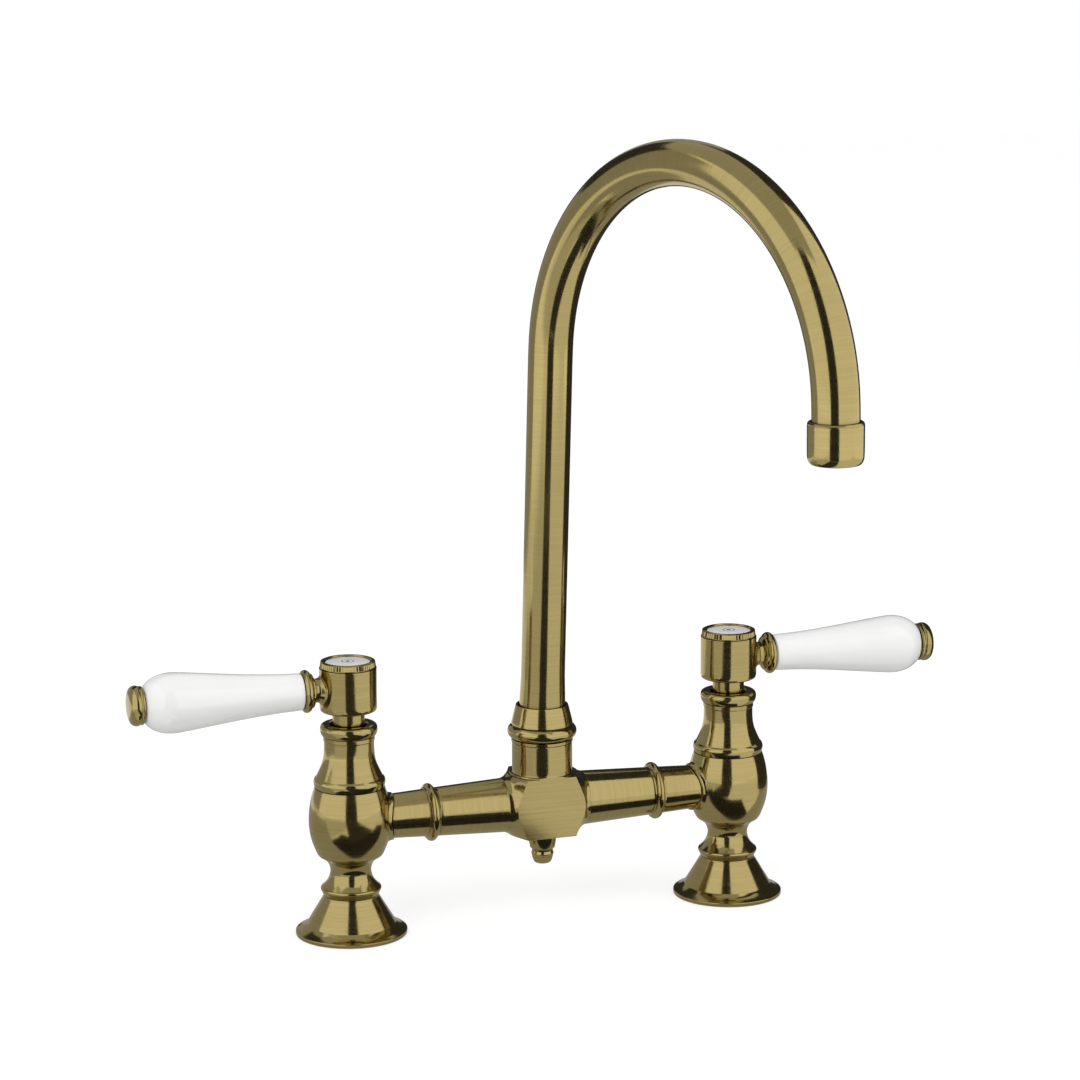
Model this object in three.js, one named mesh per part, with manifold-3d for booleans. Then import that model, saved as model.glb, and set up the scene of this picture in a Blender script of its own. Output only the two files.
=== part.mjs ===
// Bridge kitchen faucet: two turned brass pillars with porcelain levers, joined by a bridge that carries
// a swivelling swan-neck spout. Millimetres, +Z up. The origin lies on the worktop, midway between the
// pillars; +X runs along the bridge to the cold side and -Y points to the sink and the user.
import * as THREE from "three";
import { mergeVertices } from "three/addons/utils/BufferGeometryUtils.js";
import Module from "manifold-3d";

const wasm = await Module();
wasm.setup();

// ---------------------------------------------------------------- layout
const PILLAR_SPACING = 200; // between the two pillar axes, the standard bridge fitting
const BRIDGE_HEIGHT = 57.5; // worktop to the centre line of the bridge
const COLD_LEVER_TURN = 2.5; // degrees the cold lever stands open in the rest pose
const SPOUT_TURN = 18.75; // degrees from straight ahead towards the cold side
const SEAM = 0.3; // gap between two pieces that meet
const ROUND = 16; // facets round the large turned pieces
const ROUND_LEVER = 12; // round the levers, the arms and the tube
const ROUND_SMALL = 8; // round bores, seals and inner pieces

// ---------------------------------------------------------------- base flange and its gasket
const FLANGE_RADIUS = 27.6;
const FLANGE_EDGE = 1.9; // height of the rim's upright edge
const FLANGE_HEIGHT = 19.8;
const FLANGE_TOP_RADIUS = 13.8;
const CONE_FOOT_RADIUS = 22.2;
const CONE_FOOT_HEIGHT = 5.3;
const FLANGE_WALL = 2.2;
const RIM_WIDTH = 2.6; // flat ring under the rim that stands on the worktop
const GASKET_THICKNESS = 1.5;
const GASKET_WIDTH = 6.5;

// ---------------------------------------------------------------- pillar
const SHANK_RADIUS = 12.2;
const INLET_RADIUS = 9.3; // G1/2 thread's core
const INLET_DEPTH = 14;
const WATERWAY_RADIUS = 4.6;
const FOOT_BEAD_RADIUS = 14.95;
const WAIST_RADIUS = 10;
const WAIST_DROP = 25; // bridge's centre line down to the waist
const BULB_RADIUS = 20.4;
const BULB_FOOT_RADIUS = 15.8;
const BULB_DROP = 17.3; // bridge's centre line down to the bulb's foot
const BULB_RISE = 17.1; // and up to the seam between the bulb and the bonnet
const NECK_SEAM_RADIUS = 17.2;
const CHAMBER_RADIUS = 10.6; // also the core of the thread that takes the cartridge
const SEAT_DROP = 7.5; // bridge's centre line down to the valve seat, the floor of the chamber
const SPIGOT_RADIUS = 14.2; // threaded spigot that the bonnet screws on to
const SPIGOT_HEIGHT = 5.8;
const COLLAR_RADIUS = 11.9; // fish-mouthed collar where the arm meets the bulb
const COLLAR_REACH = 1.1; // how far the collar stands off the bulb

// ---------------------------------------------------------------- bonnet
const BONNET_BEAD_RADIUS = 17.65;
const NECK_RADIUS = 12.35;
const LIP_RADIUS = 14.15;
const BONNET_HEIGHT = 31.7;
const LIP_HALF = 2.6;
const BONNET_WALL = 1.8;
const MOUTH_RADIUS = 9;

// ---------------------------------------------------------------- ceramic disc cartridge
const BARREL_RADIUS = 9.4;
const DISC_RADIUS = 7.6;
const BARREL_NECK_RADIUS = 7.4;
const BARREL_NECK_DROP = 8.6; // bonnet's top down to the neck's
const BARREL_HEX_RADIUS = 11.4; // over the corners
const BARREL_HEX_HEIGHT = 5;
const SEAT_WASHER_THICKNESS = 2;
const SEAT_WASHER_BORE = 4.8;
const DISC_THICKNESS = 3;
const PORT_INNER = 2.4;
const PORT_OUTER = 6.2;
const PORT_ANGLE = 70; // degrees covered by each of a disc's two ports
const TONGUE_WIDTH = 2.8;
const TONGUE_LENGTH = 11;
const TONGUE_DEPTH = 1.1;
const SPINDLE_RADIUS = 4.9;
const SPINDLE_RISE = 11.9; // above the bonnet's top
const FOOT_WIDTH = 6.4;
const FOOT_HEIGHT = 4;
const SPLINES = 6;
const SPLINE_RADIUS = 4;
const SPLINE_DEPTH = 0.6;
const RING_SECTION = 1.9; // thickness of the rubber sealing rings
const SPINDLE_RING_DROP = 8; // barrel neck's top down to the sealing ring

// ---------------------------------------------------------------- lever hub and index disc
const HUB_RADIUS = 14.1;
const HUB_GAP = 6.3; // between the bonnet and the hub
const HUB_HEIGHT = 21.8;
const HUB_ROUNDING = 1.6;
const LEVER_RISE = 11.4; // hub's underside to the lever's centre line
const SKIRT_RADIUS = 7.95;
const SKIRT_DEPTH = 6.1; // of the skirt inside the bonnet
const SCREW_RADIUS = 2;
const SCREW_HEAD_RADIUS = 4.2;
const SCREW_HEAD_HEIGHT = 3;
const SCREW_LENGTH = 9;
const HUB_WEB = 3; // floor under the screw head
const INDEX_STEP = 0.8; // from the hub's side in to the index ring's
const INDEX_RING_HEIGHT = 3.3;
const INDEX_RING_WALL = 2.25;
const INDEX_BOSS_DEPTH = 3;
const INDEX_DISC_THICKNESS = 1.8;

// ---------------------------------------------------------------- lever
const STUD_RADIUS = 3.4;
const STUD_LENGTH = 5.5; // screwed into the hub
const STEM_RADIUS = 5.9;
const STEM_LENGTH = 4.2; // between the hub and the ferrule
const STEM_FLARE_RADIUS = 7.2;
const FERRULE_RADIUS = 10.5;
const FERRULE_LENGTH = 5.1;
const PORCELAIN_LENGTH = 78.3;
const PORCELAIN_START_RADIUS = 9.1;
const PORCELAIN_MAX_RADIUS = 14.7;
const PORCELAIN_SWELL = 63.8; // from its inner end to its thickest
const PORCELAIN_END_RADIUS = 8.4;
const PORCELAIN_BORE = 3.3;
const TIE_ROD_RADIUS = 2.5;
const KNOB_RADIUS = 9.9;
const KNOB_LENGTH = 7.3;
const WASHER_RADIUS = 6.8;
const WASHER_THICKNESS = 0.9;

// ---------------------------------------------------------------- bridge
const BLOCK_SIDE = 30.6; // square bar
const BLOCK_HALF_LENGTH = 21;
const BLOCK_CORNER_AT = 13; // where the turned ends leave the bar's corners
const BRIDGE_BORE = 6;
const ARM_BLOCK_RADIUS = 13.55;
const ARM_PILLAR_RADIUS = 10.9;
const ARM_BEAD_RADIUS = 14.25;
const ARM_BEAD_AT = 59.3; // from the middle of the bridge
const ARM_BEAD_HALF = 2.6;
const ARM_SPIGOT_RADIUS = 8.4;
const ARM_SPIGOT_LENGTH = 8; // into the pillar, past the bulb's skin
const BLOCK_SPIGOT_RADIUS = 9;
const BLOCK_SPIGOT_LENGTH = 9;
const FINIAL_LENGTH = 16.6;
const FINIAL_RADIUS = 7;
const FINIAL_THREAD_RADIUS = 3;
const FINIAL_THREAD_LENGTH = 7.5;

// ---------------------------------------------------------------- spout socket, nut and foot
const SOCKET_FOOT_STEP = 1.6;
const SOCKET_FOOT_HEIGHT = 0.8;
const SOCKET_HEIGHT = 17.8; // block's top to the nut's seat
const SOCKET_DEPTH = 27.2;
const SOCKET_THREAD_LENGTH = 5.6;
const SOCKET_THREAD_DEPTH = 1.8; // from the socket's side in to its thread
const NUT_HEIGHT = 16.9;
const NUT_BEAD_STEP = 2.15; // from the socket's side out to the nut's bead
const NUT_CONE_STEP = 0.3;
const NUT_RIM = 1.5; // from the spout's foot out to the nut's top edge
const FERRULE_COLLAR_THICKNESS = 1.5;
const SPOUT_FERRULE_WALL = 1.6;
const SPOUT_FERRULE_DEPTH = 24; // below its collar
const SPOUT_PLUG_LENGTH = 11;
const SLIP_RING_THICKNESS = 0.9;

// ---------------------------------------------------------------- spout
const SPOUT_RADIUS = 10.9; // 22 mm tube
const SPOUT_WALL = 1.2;
const SPOUT_SWAGE = 0.7; // how much its foot in the nut's mouth is swaged out
const SWAGE_LENGTH = 14.2; // from the nut up to the plain tube
const SPOUT_STRAIGHT = 1.7; // upright start of the tube before it leans towards its outlet
const SPOUT_LEAN = 2.48; // degrees
const RISER_LENGTH = 187;
const ARCH_RADIUS = 102.9;
const ARCH_SWEEP = 177.2; // degrees
const OUTLET_LEG = 4.4; // end of the arch to the aerator's collar
const ARCH_STEPS = 17;

// ---------------------------------------------------------------- aerator
const AERATOR_STEP = 1.95; // from the tube's side out to the aerator's
const AERATOR_LENGTH = 19.3;
const AERATOR_CHAMFER = 0.8;
const AERATOR_ROUNDING = 3.6;
const AERATOR_WALL = 1.8;
const TUBE_IN_AERATOR = 6;
const AERATOR_LEDGE = 1.4;
const AERATOR_LEDGE_BORE = 9;
const AERATOR_WASHER_THICKNESS = 1.4;
const AERATOR_LIP = 0.9; // turned in under the insert
const INSERT_WALL = 1.3;
const INSERT_PLATE = 1.6;
const INSERT_HOLE_RADIUS = 0.95;
const INSERT_HOLE_PITCH = 3.4;

// ---------------------------------------------------------------- heights that follow
const PILLAR_HEIGHT = BRIDGE_HEIGHT + BULB_RISE;
const SEAT_HEIGHT = BRIDGE_HEIGHT - SEAT_DROP;
const SPIGOT_TOP = PILLAR_HEIGHT + SPIGOT_HEIGHT;
const BONNET_TOP = PILLAR_HEIGHT + SEAM + BONNET_HEIGHT;
const BARREL_NECK_TOP = BONNET_TOP - BARREL_NECK_DROP;
const SPINDLE_TOP = BONNET_TOP + SPINDLE_RISE;
const HUB_BOTTOM = BONNET_TOP + HUB_GAP;
const HUB_TOP = HUB_BOTTOM + HUB_HEIGHT;
const LEVER_HEIGHT = HUB_BOTTOM + LEVER_RISE;

// ---------------------------------------------------------------- and places along a lever
const FERRULE_FACE = HUB_RADIUS + STEM_LENGTH;
const PORCELAIN_START = FERRULE_FACE + FERRULE_LENGTH + SEAM;
const PORCELAIN_END = PORCELAIN_START + PORCELAIN_LENGTH;
const LEVER_TIP = PORCELAIN_END + SEAM + KNOB_LENGTH;

// ---------------------------------------------------------------- and radii from the spout tube outwards
const SPOUT_FOOT_RADIUS = SPOUT_RADIUS + SPOUT_SWAGE;
const SOCKET_THREAD_RADIUS = SPOUT_FOOT_RADIUS + NUT_RIM + 0.1;
const SOCKET_RADIUS = SOCKET_THREAD_RADIUS + SOCKET_THREAD_DEPTH;
const SPOUT_SPIGOT_RADIUS = SPOUT_RADIUS + 0.1;
const SPOUT_RING_RADIUS = SPOUT_SPIGOT_RADIUS + SEAM / 2;
const SPOUT_PLUG_RADIUS = SPOUT_RADIUS - SPOUT_WALL - 2 * SEAM;
const AERATOR_RADIUS = SPOUT_RADIUS + AERATOR_STEP;

// ---------------------------------------------------------------- finishes
function finish(color, roughness, metalness) {
  return new THREE.MeshStandardMaterial({ color, roughness, metalness });
}

const BRASS = finish(0xaf9d62, 0.3, 1);
const RAW_BRASS = finish(0xc2a14d, 0.45, 1);
const STEEL = finish(0xb4b6b8, 0.35, 1);
const PORCELAIN = finish(0xf7f7f5, 0.12, 0);
const VALVE_CERAMIC = finish(0xe6e2d8, 0.25, 0);
const RUBBER = finish(0x1b1b1b, 0.8, 0);
const NYLON = finish(0xe9e6dc, 0.5, 0);

// ---------------------------------------------------------------- shaping
// Revolves a closed outline of (radius, height) about Z.
function turned(outline, facets = ROUND, smoothness = 2) {
  outline.closePath();
  const points = outline.getPoints(smoothness);
  if (THREE.ShapeUtils.isClockWise(points)) points.reverse();
  return new THREE.LatheGeometry(points, facets).rotateX(Math.PI / 2);
}

// A closed outline through straight corners.
function corners(...points) {
  const outline = new THREE.Path();
  outline.moveTo(...points[0]);
  points.slice(1).forEach((point) => outline.lineTo(...point));
  return outline;
}

// A plain ring, rod or disc between two heights.
function ring(inner, outer, bottom, top, facets = ROUND_SMALL) {
  return turned(corners([inner, bottom], [outer, bottom], [outer, top], [inner, top]), facets);
}

const rod = (radius, bottom, top, facets = ROUND_SMALL) => ring(0, radius, bottom, top, facets);

// Radius of a faceted bore whose flats still clear a shaft that turns in it.
const bearing = (radius, facets) => (radius + SEAM) / Math.cos(Math.PI / facets);

// Lays a piece that was turned about Z down along +X, its height becoming the distance from the origin.
const alongX = (geometry) => geometry.rotateY(Math.PI / 2);

function box(width, depth, height) {
  return new THREE.BoxGeometry(width, depth, height);
}

// A prism of a flat outline between two heights.
function prism(outline, bottom, top) {
  const options = { depth: top - bottom, bevelEnabled: false, curveSegments: 3 };
  return new THREE.ExtrudeGeometry(outline, options).translate(0, 0, bottom);
}

function toSolid(geometry) {
  const bare = new THREE.BufferGeometry().setAttribute("position", geometry.getAttribute("position"));
  bare.setIndex(geometry.index);
  const merged = mergeVertices(bare, 1e-4);
  const vertProperties = merged.getAttribute("position").array;
  const triVerts = new Uint32Array(merged.index.array);
  return new wasm.Manifold(new wasm.Mesh({ numProp: 3, vertProperties, triVerts }));
}

function toGeometry(solid) {
  const mesh = solid.getMesh();
  const geometry = new THREE.BufferGeometry();
  geometry.setAttribute("position", new THREE.BufferAttribute(mesh.vertProperties, 3));
  geometry.setIndex(new THREE.BufferAttribute(mesh.triVerts, 1));
  geometry.computeVertexNormals();
  return geometry;
}

function joined(...geometries) {
  return toGeometry(geometries.map(toSolid).reduce((sum, next) => sum.add(next)));
}

function cut(geometry, ...tools) {
  return toGeometry(tools.map(toSolid).reduce((rest, tool) => rest.subtract(tool), toSolid(geometry)));
}

function common(a, b) {
  return toGeometry(toSolid(a).intersect(toSolid(b)));
}

function piece(name, geometry, material) {
  const mesh = new THREE.Mesh(geometry, material);
  mesh.name = name;
  return mesh;
}

// ---------------------------------------------------------------- foot of a pillar
// Spun escutcheon: a rim on the worktop, a hollowed skirt and a cone up to the pillar's shoulder.
function baseFlange() {
  const bore = SHANK_RADIUS + SEAM;
  const recess = FLANGE_RADIUS - RIM_WIDTH;
  const ledge = GASKET_THICKNESS + SEAM;
  const innerTop = FLANGE_HEIGHT - 1.6 * FLANGE_WALL;
  const innerCone = CONE_FOOT_RADIUS - 1.3 * FLANGE_WALL;
  const outline = new THREE.Path();
  outline.moveTo(recess, 0);
  outline.lineTo(FLANGE_RADIUS, 0);
  outline.lineTo(FLANGE_RADIUS, FLANGE_EDGE);
  const sagRadius = (FLANGE_RADIUS + CONE_FOOT_RADIUS) / 2 - 0.5;
  const sagHeight = (FLANGE_EDGE + CONE_FOOT_HEIGHT) / 2 - 0.5;
  outline.quadraticCurveTo(sagRadius, sagHeight, CONE_FOOT_RADIUS, CONE_FOOT_HEIGHT);
  outline.lineTo(FLANGE_TOP_RADIUS, FLANGE_HEIGHT);
  outline.lineTo(bore, FLANGE_HEIGHT);
  outline.lineTo(bore, innerTop);
  outline.lineTo(innerCone, CONE_FOOT_HEIGHT);
  outline.lineTo(innerCone, ledge);
  outline.lineTo(recess, ledge);
  return turned(outline);
}

function baseGasket() {
  const outer = FLANGE_RADIUS - RIM_WIDTH - SEAM;
  return ring(outer - GASKET_WIDTH, outer, 0, GASKET_THICKNESS, ROUND);
}

// ---------------------------------------------------------------- pillar
// Outer radius that the collar and the arm's end follow round the bulb.
const COLLAR_FACE = BULB_RADIUS + COLLAR_REACH;
const ARM_SPIGOT_END = COLLAR_FACE - ARM_SPIGOT_LENGTH;

function pillarBody() {
  const shoulder = FLANGE_HEIGHT + SEAM;
  const outline = new THREE.Path();
  outline.moveTo(INLET_RADIUS, SEAM);
  outline.lineTo(SHANK_RADIUS, SEAM);
  outline.lineTo(SHANK_RADIUS, shoulder);
  outline.lineTo(FLANGE_TOP_RADIUS, shoulder);
  outline.lineTo(FOOT_BEAD_RADIUS, shoulder + 2.6);
  outline.lineTo(FOOT_BEAD_RADIUS - 1, shoulder + 4.1);
  const flareFoot = shoulder + 5.6;
  outline.bezierCurveTo(
    WAIST_RADIUS + 1.2, flareFoot,
    WAIST_RADIUS, flareFoot + 3.2,
    WAIST_RADIUS, BRIDGE_HEIGHT - WAIST_DROP);
  const bulbFoot = BRIDGE_HEIGHT - BULB_DROP;
  outline.bezierCurveTo(
    WAIST_RADIUS, bulbFoot - 4,
    WAIST_RADIUS + 3, bulbFoot - 2.8,
    BULB_FOOT_RADIUS, bulbFoot);
  outline.bezierCurveTo(
    BULB_RADIUS - 2, bulbFoot + 5,
    BULB_RADIUS, BRIDGE_HEIGHT - 6.2,
    BULB_RADIUS, BRIDGE_HEIGHT);
  outline.bezierCurveTo(
    BULB_RADIUS, BRIDGE_HEIGHT + 5.5,
    BULB_RADIUS - 1.2, PILLAR_HEIGHT - 5,
    NECK_SEAM_RADIUS, PILLAR_HEIGHT);
  outline.lineTo(SPIGOT_RADIUS, PILLAR_HEIGHT);
  outline.lineTo(SPIGOT_RADIUS, SPIGOT_TOP);
  outline.lineTo(CHAMBER_RADIUS, SPIGOT_TOP);
  outline.lineTo(CHAMBER_RADIUS, SEAT_HEIGHT);
  outline.lineTo(WATERWAY_RADIUS, SEAT_HEIGHT);
  outline.lineTo(WATERWAY_RADIUS, SEAM + INLET_DEPTH);
  outline.lineTo(INLET_RADIUS, SEAM + INLET_DEPTH);
  const body = turned(outline);
  const inward = (geometry) => alongX(geometry).rotateZ(Math.PI).translate(0, 0, BRIDGE_HEIGHT);
  const column = ring(CHAMBER_RADIUS + 1, COLLAR_FACE, SEAT_HEIGHT - 8, PILLAR_HEIGHT - 1, ROUND);
  const collar = common(inward(rod(COLLAR_RADIUS, 0, COLLAR_FACE + 5, ROUND)), column);
  const socket = inward(rod(ARM_SPIGOT_RADIUS + SEAM, ARM_SPIGOT_END - SEAM, COLLAR_FACE + 5));
  const port = inward(rod(BRIDGE_BORE, CHAMBER_RADIUS - 2, COLLAR_FACE + 5));
  return cut(joined(body, collar), socket, port);
}

// Bell-shaped cover that screws over the pillar's spigot and hides the cartridge.
function bonnet() {
  const foot = PILLAR_HEIGHT + SEAM;
  const threadTop = SPIGOT_TOP + SEAM;
  const lip = BONNET_TOP - LIP_HALF;
  const lipFoot = lip - LIP_HALF;
  const outline = new THREE.Path();
  outline.moveTo(SPIGOT_RADIUS + SEAM, foot);
  outline.lineTo(NECK_SEAM_RADIUS, foot);
  outline.lineTo(BONNET_BEAD_RADIUS, foot + 2);
  outline.lineTo(BONNET_BEAD_RADIUS, foot + 3.6);
  outline.lineTo(BONNET_BEAD_RADIUS - 1.1, foot + 5.2);
  outline.bezierCurveTo(NECK_RADIUS + 2, foot + 9, NECK_RADIUS, foot + 13.5, NECK_RADIUS, foot + 18);
  outline.lineTo(NECK_RADIUS, lipFoot - 3);
  outline.lineTo(NECK_RADIUS + 0.5, lipFoot - 2.5);
  outline.lineTo(NECK_RADIUS + 0.3, lipFoot - 0.4);
  outline.quadraticCurveTo(LIP_RADIUS, lipFoot + 0.6, LIP_RADIUS, lip);
  outline.quadraticCurveTo(LIP_RADIUS, BONNET_TOP, LIP_RADIUS - LIP_HALF, BONNET_TOP);
  outline.lineTo(MOUTH_RADIUS, BONNET_TOP);
  outline.lineTo(MOUTH_RADIUS, lip - 0.6);
  outline.lineTo(NECK_RADIUS - BONNET_WALL, lip - 2);
  outline.lineTo(NECK_RADIUS - BONNET_WALL, foot + 15);
  outline.lineTo(BARREL_HEX_RADIUS + 2 * SEAM, threadTop + BARREL_HEX_HEIGHT + SEAM);
  outline.lineTo(SPIGOT_RADIUS + SEAM, threadTop);
  return turned(outline);
}

// ---------------------------------------------------------------- cartridge
const WASHER_TOP = SEAT_HEIGHT + SEAM + SEAT_WASHER_THICKNESS;
const FIXED_DISC_BOTTOM = WASHER_TOP + SEAM;
const MOVING_DISC_BOTTOM = FIXED_DISC_BOTTOM + DISC_THICKNESS + SEAM;
const FOOT_BOTTOM = MOVING_DISC_BOTTOM + DISC_THICKNESS + SEAM;
const FOOT_TOP = FOOT_BOTTOM + FOOT_HEIGHT;
const SPINDLE_GROOVE = BARREL_NECK_TOP - SPINDLE_RING_DROP;

// Screw-in barrel: discs below, windows that let the water out, a hexagon for the key and the spindle's
// neck.
function cartridgeBarrel() {
  const thread = PILLAR_HEIGHT - 3.6;
  const hexFoot = SPIGOT_TOP + SEAM;
  const discBore = bearing(DISC_RADIUS, ROUND_LEVER);
  const spindleBore = bearing(SPINDLE_RADIUS, ROUND_LEVER);
  const barrel = turned(corners(
    [discBore, SEAT_HEIGHT + 1.2],
    [BARREL_RADIUS, SEAT_HEIGHT + 1.2],
    [BARREL_RADIUS, thread],
    [CHAMBER_RADIUS - SEAM, thread],
    [CHAMBER_RADIUS - SEAM, hexFoot + 1],
    [BARREL_NECK_RADIUS, hexFoot + 1],
    [BARREL_NECK_RADIUS, BARREL_NECK_TOP],
    [spindleBore, BARREL_NECK_TOP],
    [spindleBore, FOOT_TOP + SEAM],
    [discBore, FOOT_TOP + SEAM],
  ), ROUND_LEVER);
  const hexagon = rod(BARREL_HEX_RADIUS, hexFoot, hexFoot + BARREL_HEX_HEIGHT, 6);
  const bore = rod(spindleBore, FOOT_TOP, BARREL_NECK_TOP, ROUND_LEVER);
  const window = box(3 * BARREL_RADIUS, DISC_RADIUS, FOOT_HEIGHT - 0.4);
  window.translate(0, 0, FOOT_BOTTOM + FOOT_HEIGHT / 2);
  return cut(joined(barrel, cut(hexagon, bore)), window);
}

// Ground ceramic disc with two ports. Closed, the moving disc's ports lie across the fixed disc's.
function valveDisc(bottom, portsAt, slotted) {
  const disc = rod(DISC_RADIUS, bottom, bottom + DISC_THICKNESS);
  const half = THREE.MathUtils.degToRad(PORT_ANGLE / 2);
  const tools = [portsAt, portsAt + 180].map((degrees) => {
    const port = new THREE.Shape();
    port.absarc(0, 0, PORT_OUTER, -half, half, false);
    port.absarc(0, 0, PORT_INNER, half, -half, true);
    return prism(port, bottom - 1, bottom + DISC_THICKNESS + 1).rotateZ(THREE.MathUtils.degToRad(degrees));
  });
  if (slotted) {
    const slot = box(TONGUE_LENGTH + 2 * SEAM, TONGUE_WIDTH + 2 * SEAM, 2 * (TONGUE_DEPTH + SEAM));
    tools.push(slot.translate(0, 0, bottom + DISC_THICKNESS));
  }
  return cut(disc, ...tools);
}

// Splined section: each spline has a crest between two roots.
function splineOutline(crest) {
  const root = crest - SPLINE_DEPTH;
  const spline = [[-0.3, root], [-0.15, crest], [0.15, crest], [0.3, root]];
  const points = [];
  for (let i = 0; i < SPLINES; i++) {
    for (const [share, radius] of spline) {
      const angle = ((i + share) * 2 * Math.PI) / SPLINES;
      points.push(new THREE.Vector2(radius * Math.cos(angle), radius * Math.sin(angle)));
    }
  }
  return new THREE.Shape(points);
}

// Spindle: splined head under the hub, sealed shaft, and a foot whose tongue turns the moving disc.
function spindle() {
  const shaft = turned(corners(
    [0, FOOT_TOP - 1],
    [SPINDLE_RADIUS, FOOT_TOP - 1],
    [SPINDLE_RADIUS, SPINDLE_GROOVE],
    [SPINDLE_RADIUS - RING_SECTION + 0.5, SPINDLE_GROOVE],
    [SPINDLE_RADIUS - RING_SECTION + 0.5, SPINDLE_GROOVE + RING_SECTION + 0.4],
    [SPINDLE_RADIUS, SPINDLE_GROOVE + RING_SECTION + 0.4],
    [SPINDLE_RADIUS, BARREL_NECK_TOP + 0.5],
    [0, BARREL_NECK_TOP + 0.5],
  ), ROUND_SMALL);
  const head = prism(splineOutline(SPLINE_RADIUS), BARREL_NECK_TOP - 1, SPINDLE_TOP);
  const bar = box(2 * DISC_RADIUS, FOOT_WIDTH, FOOT_HEIGHT).translate(0, 0, FOOT_BOTTOM + FOOT_HEIGHT / 2);
  const foot = common(rod(DISC_RADIUS, FOOT_BOTTOM, FOOT_TOP), bar);
  const tongue = box(TONGUE_LENGTH, TONGUE_WIDTH, TONGUE_DEPTH + SEAM + 1);
  tongue.translate(0, 0, FOOT_BOTTOM + 1 - (TONGUE_DEPTH + SEAM + 1) / 2);
  const screwHole = rod(SCREW_RADIUS + SEAM, SPINDLE_TOP - SCREW_LENGTH, SPINDLE_TOP + 1);
  return cut(joined(shaft, head, foot, tongue), screwHole);
}

function spindleRing() {
  const bottom = SPINDLE_GROOVE + 0.2;
  return ring(SPINDLE_RADIUS - RING_SECTION + 0.65, SPINDLE_RADIUS + 0.1, bottom, bottom + RING_SECTION);
}

// ---------------------------------------------------------------- hub
const INDEX_RING_RADIUS = HUB_RADIUS - INDEX_STEP;
const INDEX_DISC_RADIUS = INDEX_RING_RADIUS - INDEX_RING_WALL;
const INDEX_BOSS_RADIUS = INDEX_DISC_RADIUS - SEAM / 2;

// Turned hub: a skirt that runs in the bonnet's mouth, a splined bore, a screw well and a threaded top.
function leverHub() {
  const floor = SPINDLE_TOP + SEAM;
  const skirtEnd = BONNET_TOP - SKIRT_DEPTH;
  const outline = new THREE.Path();
  outline.moveTo(0, skirtEnd);
  outline.lineTo(SKIRT_RADIUS, skirtEnd);
  outline.lineTo(SKIRT_RADIUS, HUB_BOTTOM);
  outline.lineTo(HUB_RADIUS - HUB_ROUNDING, HUB_BOTTOM);
  outline.quadraticCurveTo(HUB_RADIUS, HUB_BOTTOM, HUB_RADIUS, HUB_BOTTOM + HUB_ROUNDING);
  outline.lineTo(HUB_RADIUS, HUB_TOP);
  outline.lineTo(INDEX_BOSS_RADIUS + SEAM, HUB_TOP);
  outline.lineTo(INDEX_BOSS_RADIUS + SEAM, HUB_TOP - INDEX_BOSS_DEPTH - SEAM);
  outline.lineTo(SCREW_HEAD_RADIUS + 0.8, HUB_TOP - INDEX_BOSS_DEPTH - SEAM);
  outline.lineTo(SCREW_HEAD_RADIUS + 0.8, floor + HUB_WEB);
  outline.lineTo(0, floor + HUB_WEB);
  const body = turned(outline);
  const splines = prism(splineOutline(SPLINE_RADIUS + SEAM), skirtEnd - 1, floor);
  const screwHole = rod(SCREW_RADIUS + SEAM, floor - 1, floor + HUB_WEB + 1);
  const studHole = alongX(rod(STUD_RADIUS + SEAM, HUB_RADIUS - STUD_LENGTH - SEAM, HUB_RADIUS + 2));
  studHole.translate(0, 0, LEVER_HEIGHT);
  return cut(body, splines, screwHole, studHole);
}

// Pan-head screw that holds the hub down on the spindle.
function hubScrew() {
  const seat = SPINDLE_TOP + SEAM + HUB_WEB + SEAM;
  const tip = SPINDLE_TOP - SCREW_LENGTH + 1;
  return turned(corners(
    [0, tip],
    [SCREW_RADIUS, tip],
    [SCREW_RADIUS, seat],
    [SCREW_HEAD_RADIUS, seat],
    [SCREW_HEAD_RADIUS, seat + 0.6 * SCREW_HEAD_HEIGHT],
    [0.6 * SCREW_HEAD_RADIUS, seat + SCREW_HEAD_HEIGHT],
    [0, seat + SCREW_HEAD_HEIGHT],
  ), ROUND_SMALL);
}

// Threaded ring that closes the hub's top and frames the index disc.
function indexRing() {
  const foot = HUB_TOP + SEAM;
  const top = HUB_TOP + INDEX_RING_HEIGHT;
  const ledge = top - SEAM - INDEX_DISC_THICKNESS;
  return turned(corners(
    [INDEX_DISC_RADIUS - 2, HUB_TOP - INDEX_BOSS_DEPTH],
    [INDEX_BOSS_RADIUS, HUB_TOP - INDEX_BOSS_DEPTH],
    [INDEX_BOSS_RADIUS, foot],
    [INDEX_RING_RADIUS, foot],
    [INDEX_RING_RADIUS, top - 0.6],
    [INDEX_RING_RADIUS - 0.6, top],
    [INDEX_DISC_RADIUS + SEAM, top],
    [INDEX_DISC_RADIUS + SEAM, ledge - SEAM],
    [INDEX_DISC_RADIUS - 2, ledge - SEAM],
  ));
}

function indexDisc() {
  const top = HUB_TOP + INDEX_RING_HEIGHT - SEAM;
  return rod(INDEX_DISC_RADIUS, top - INDEX_DISC_THICKNESS, top, ROUND);
}

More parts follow.
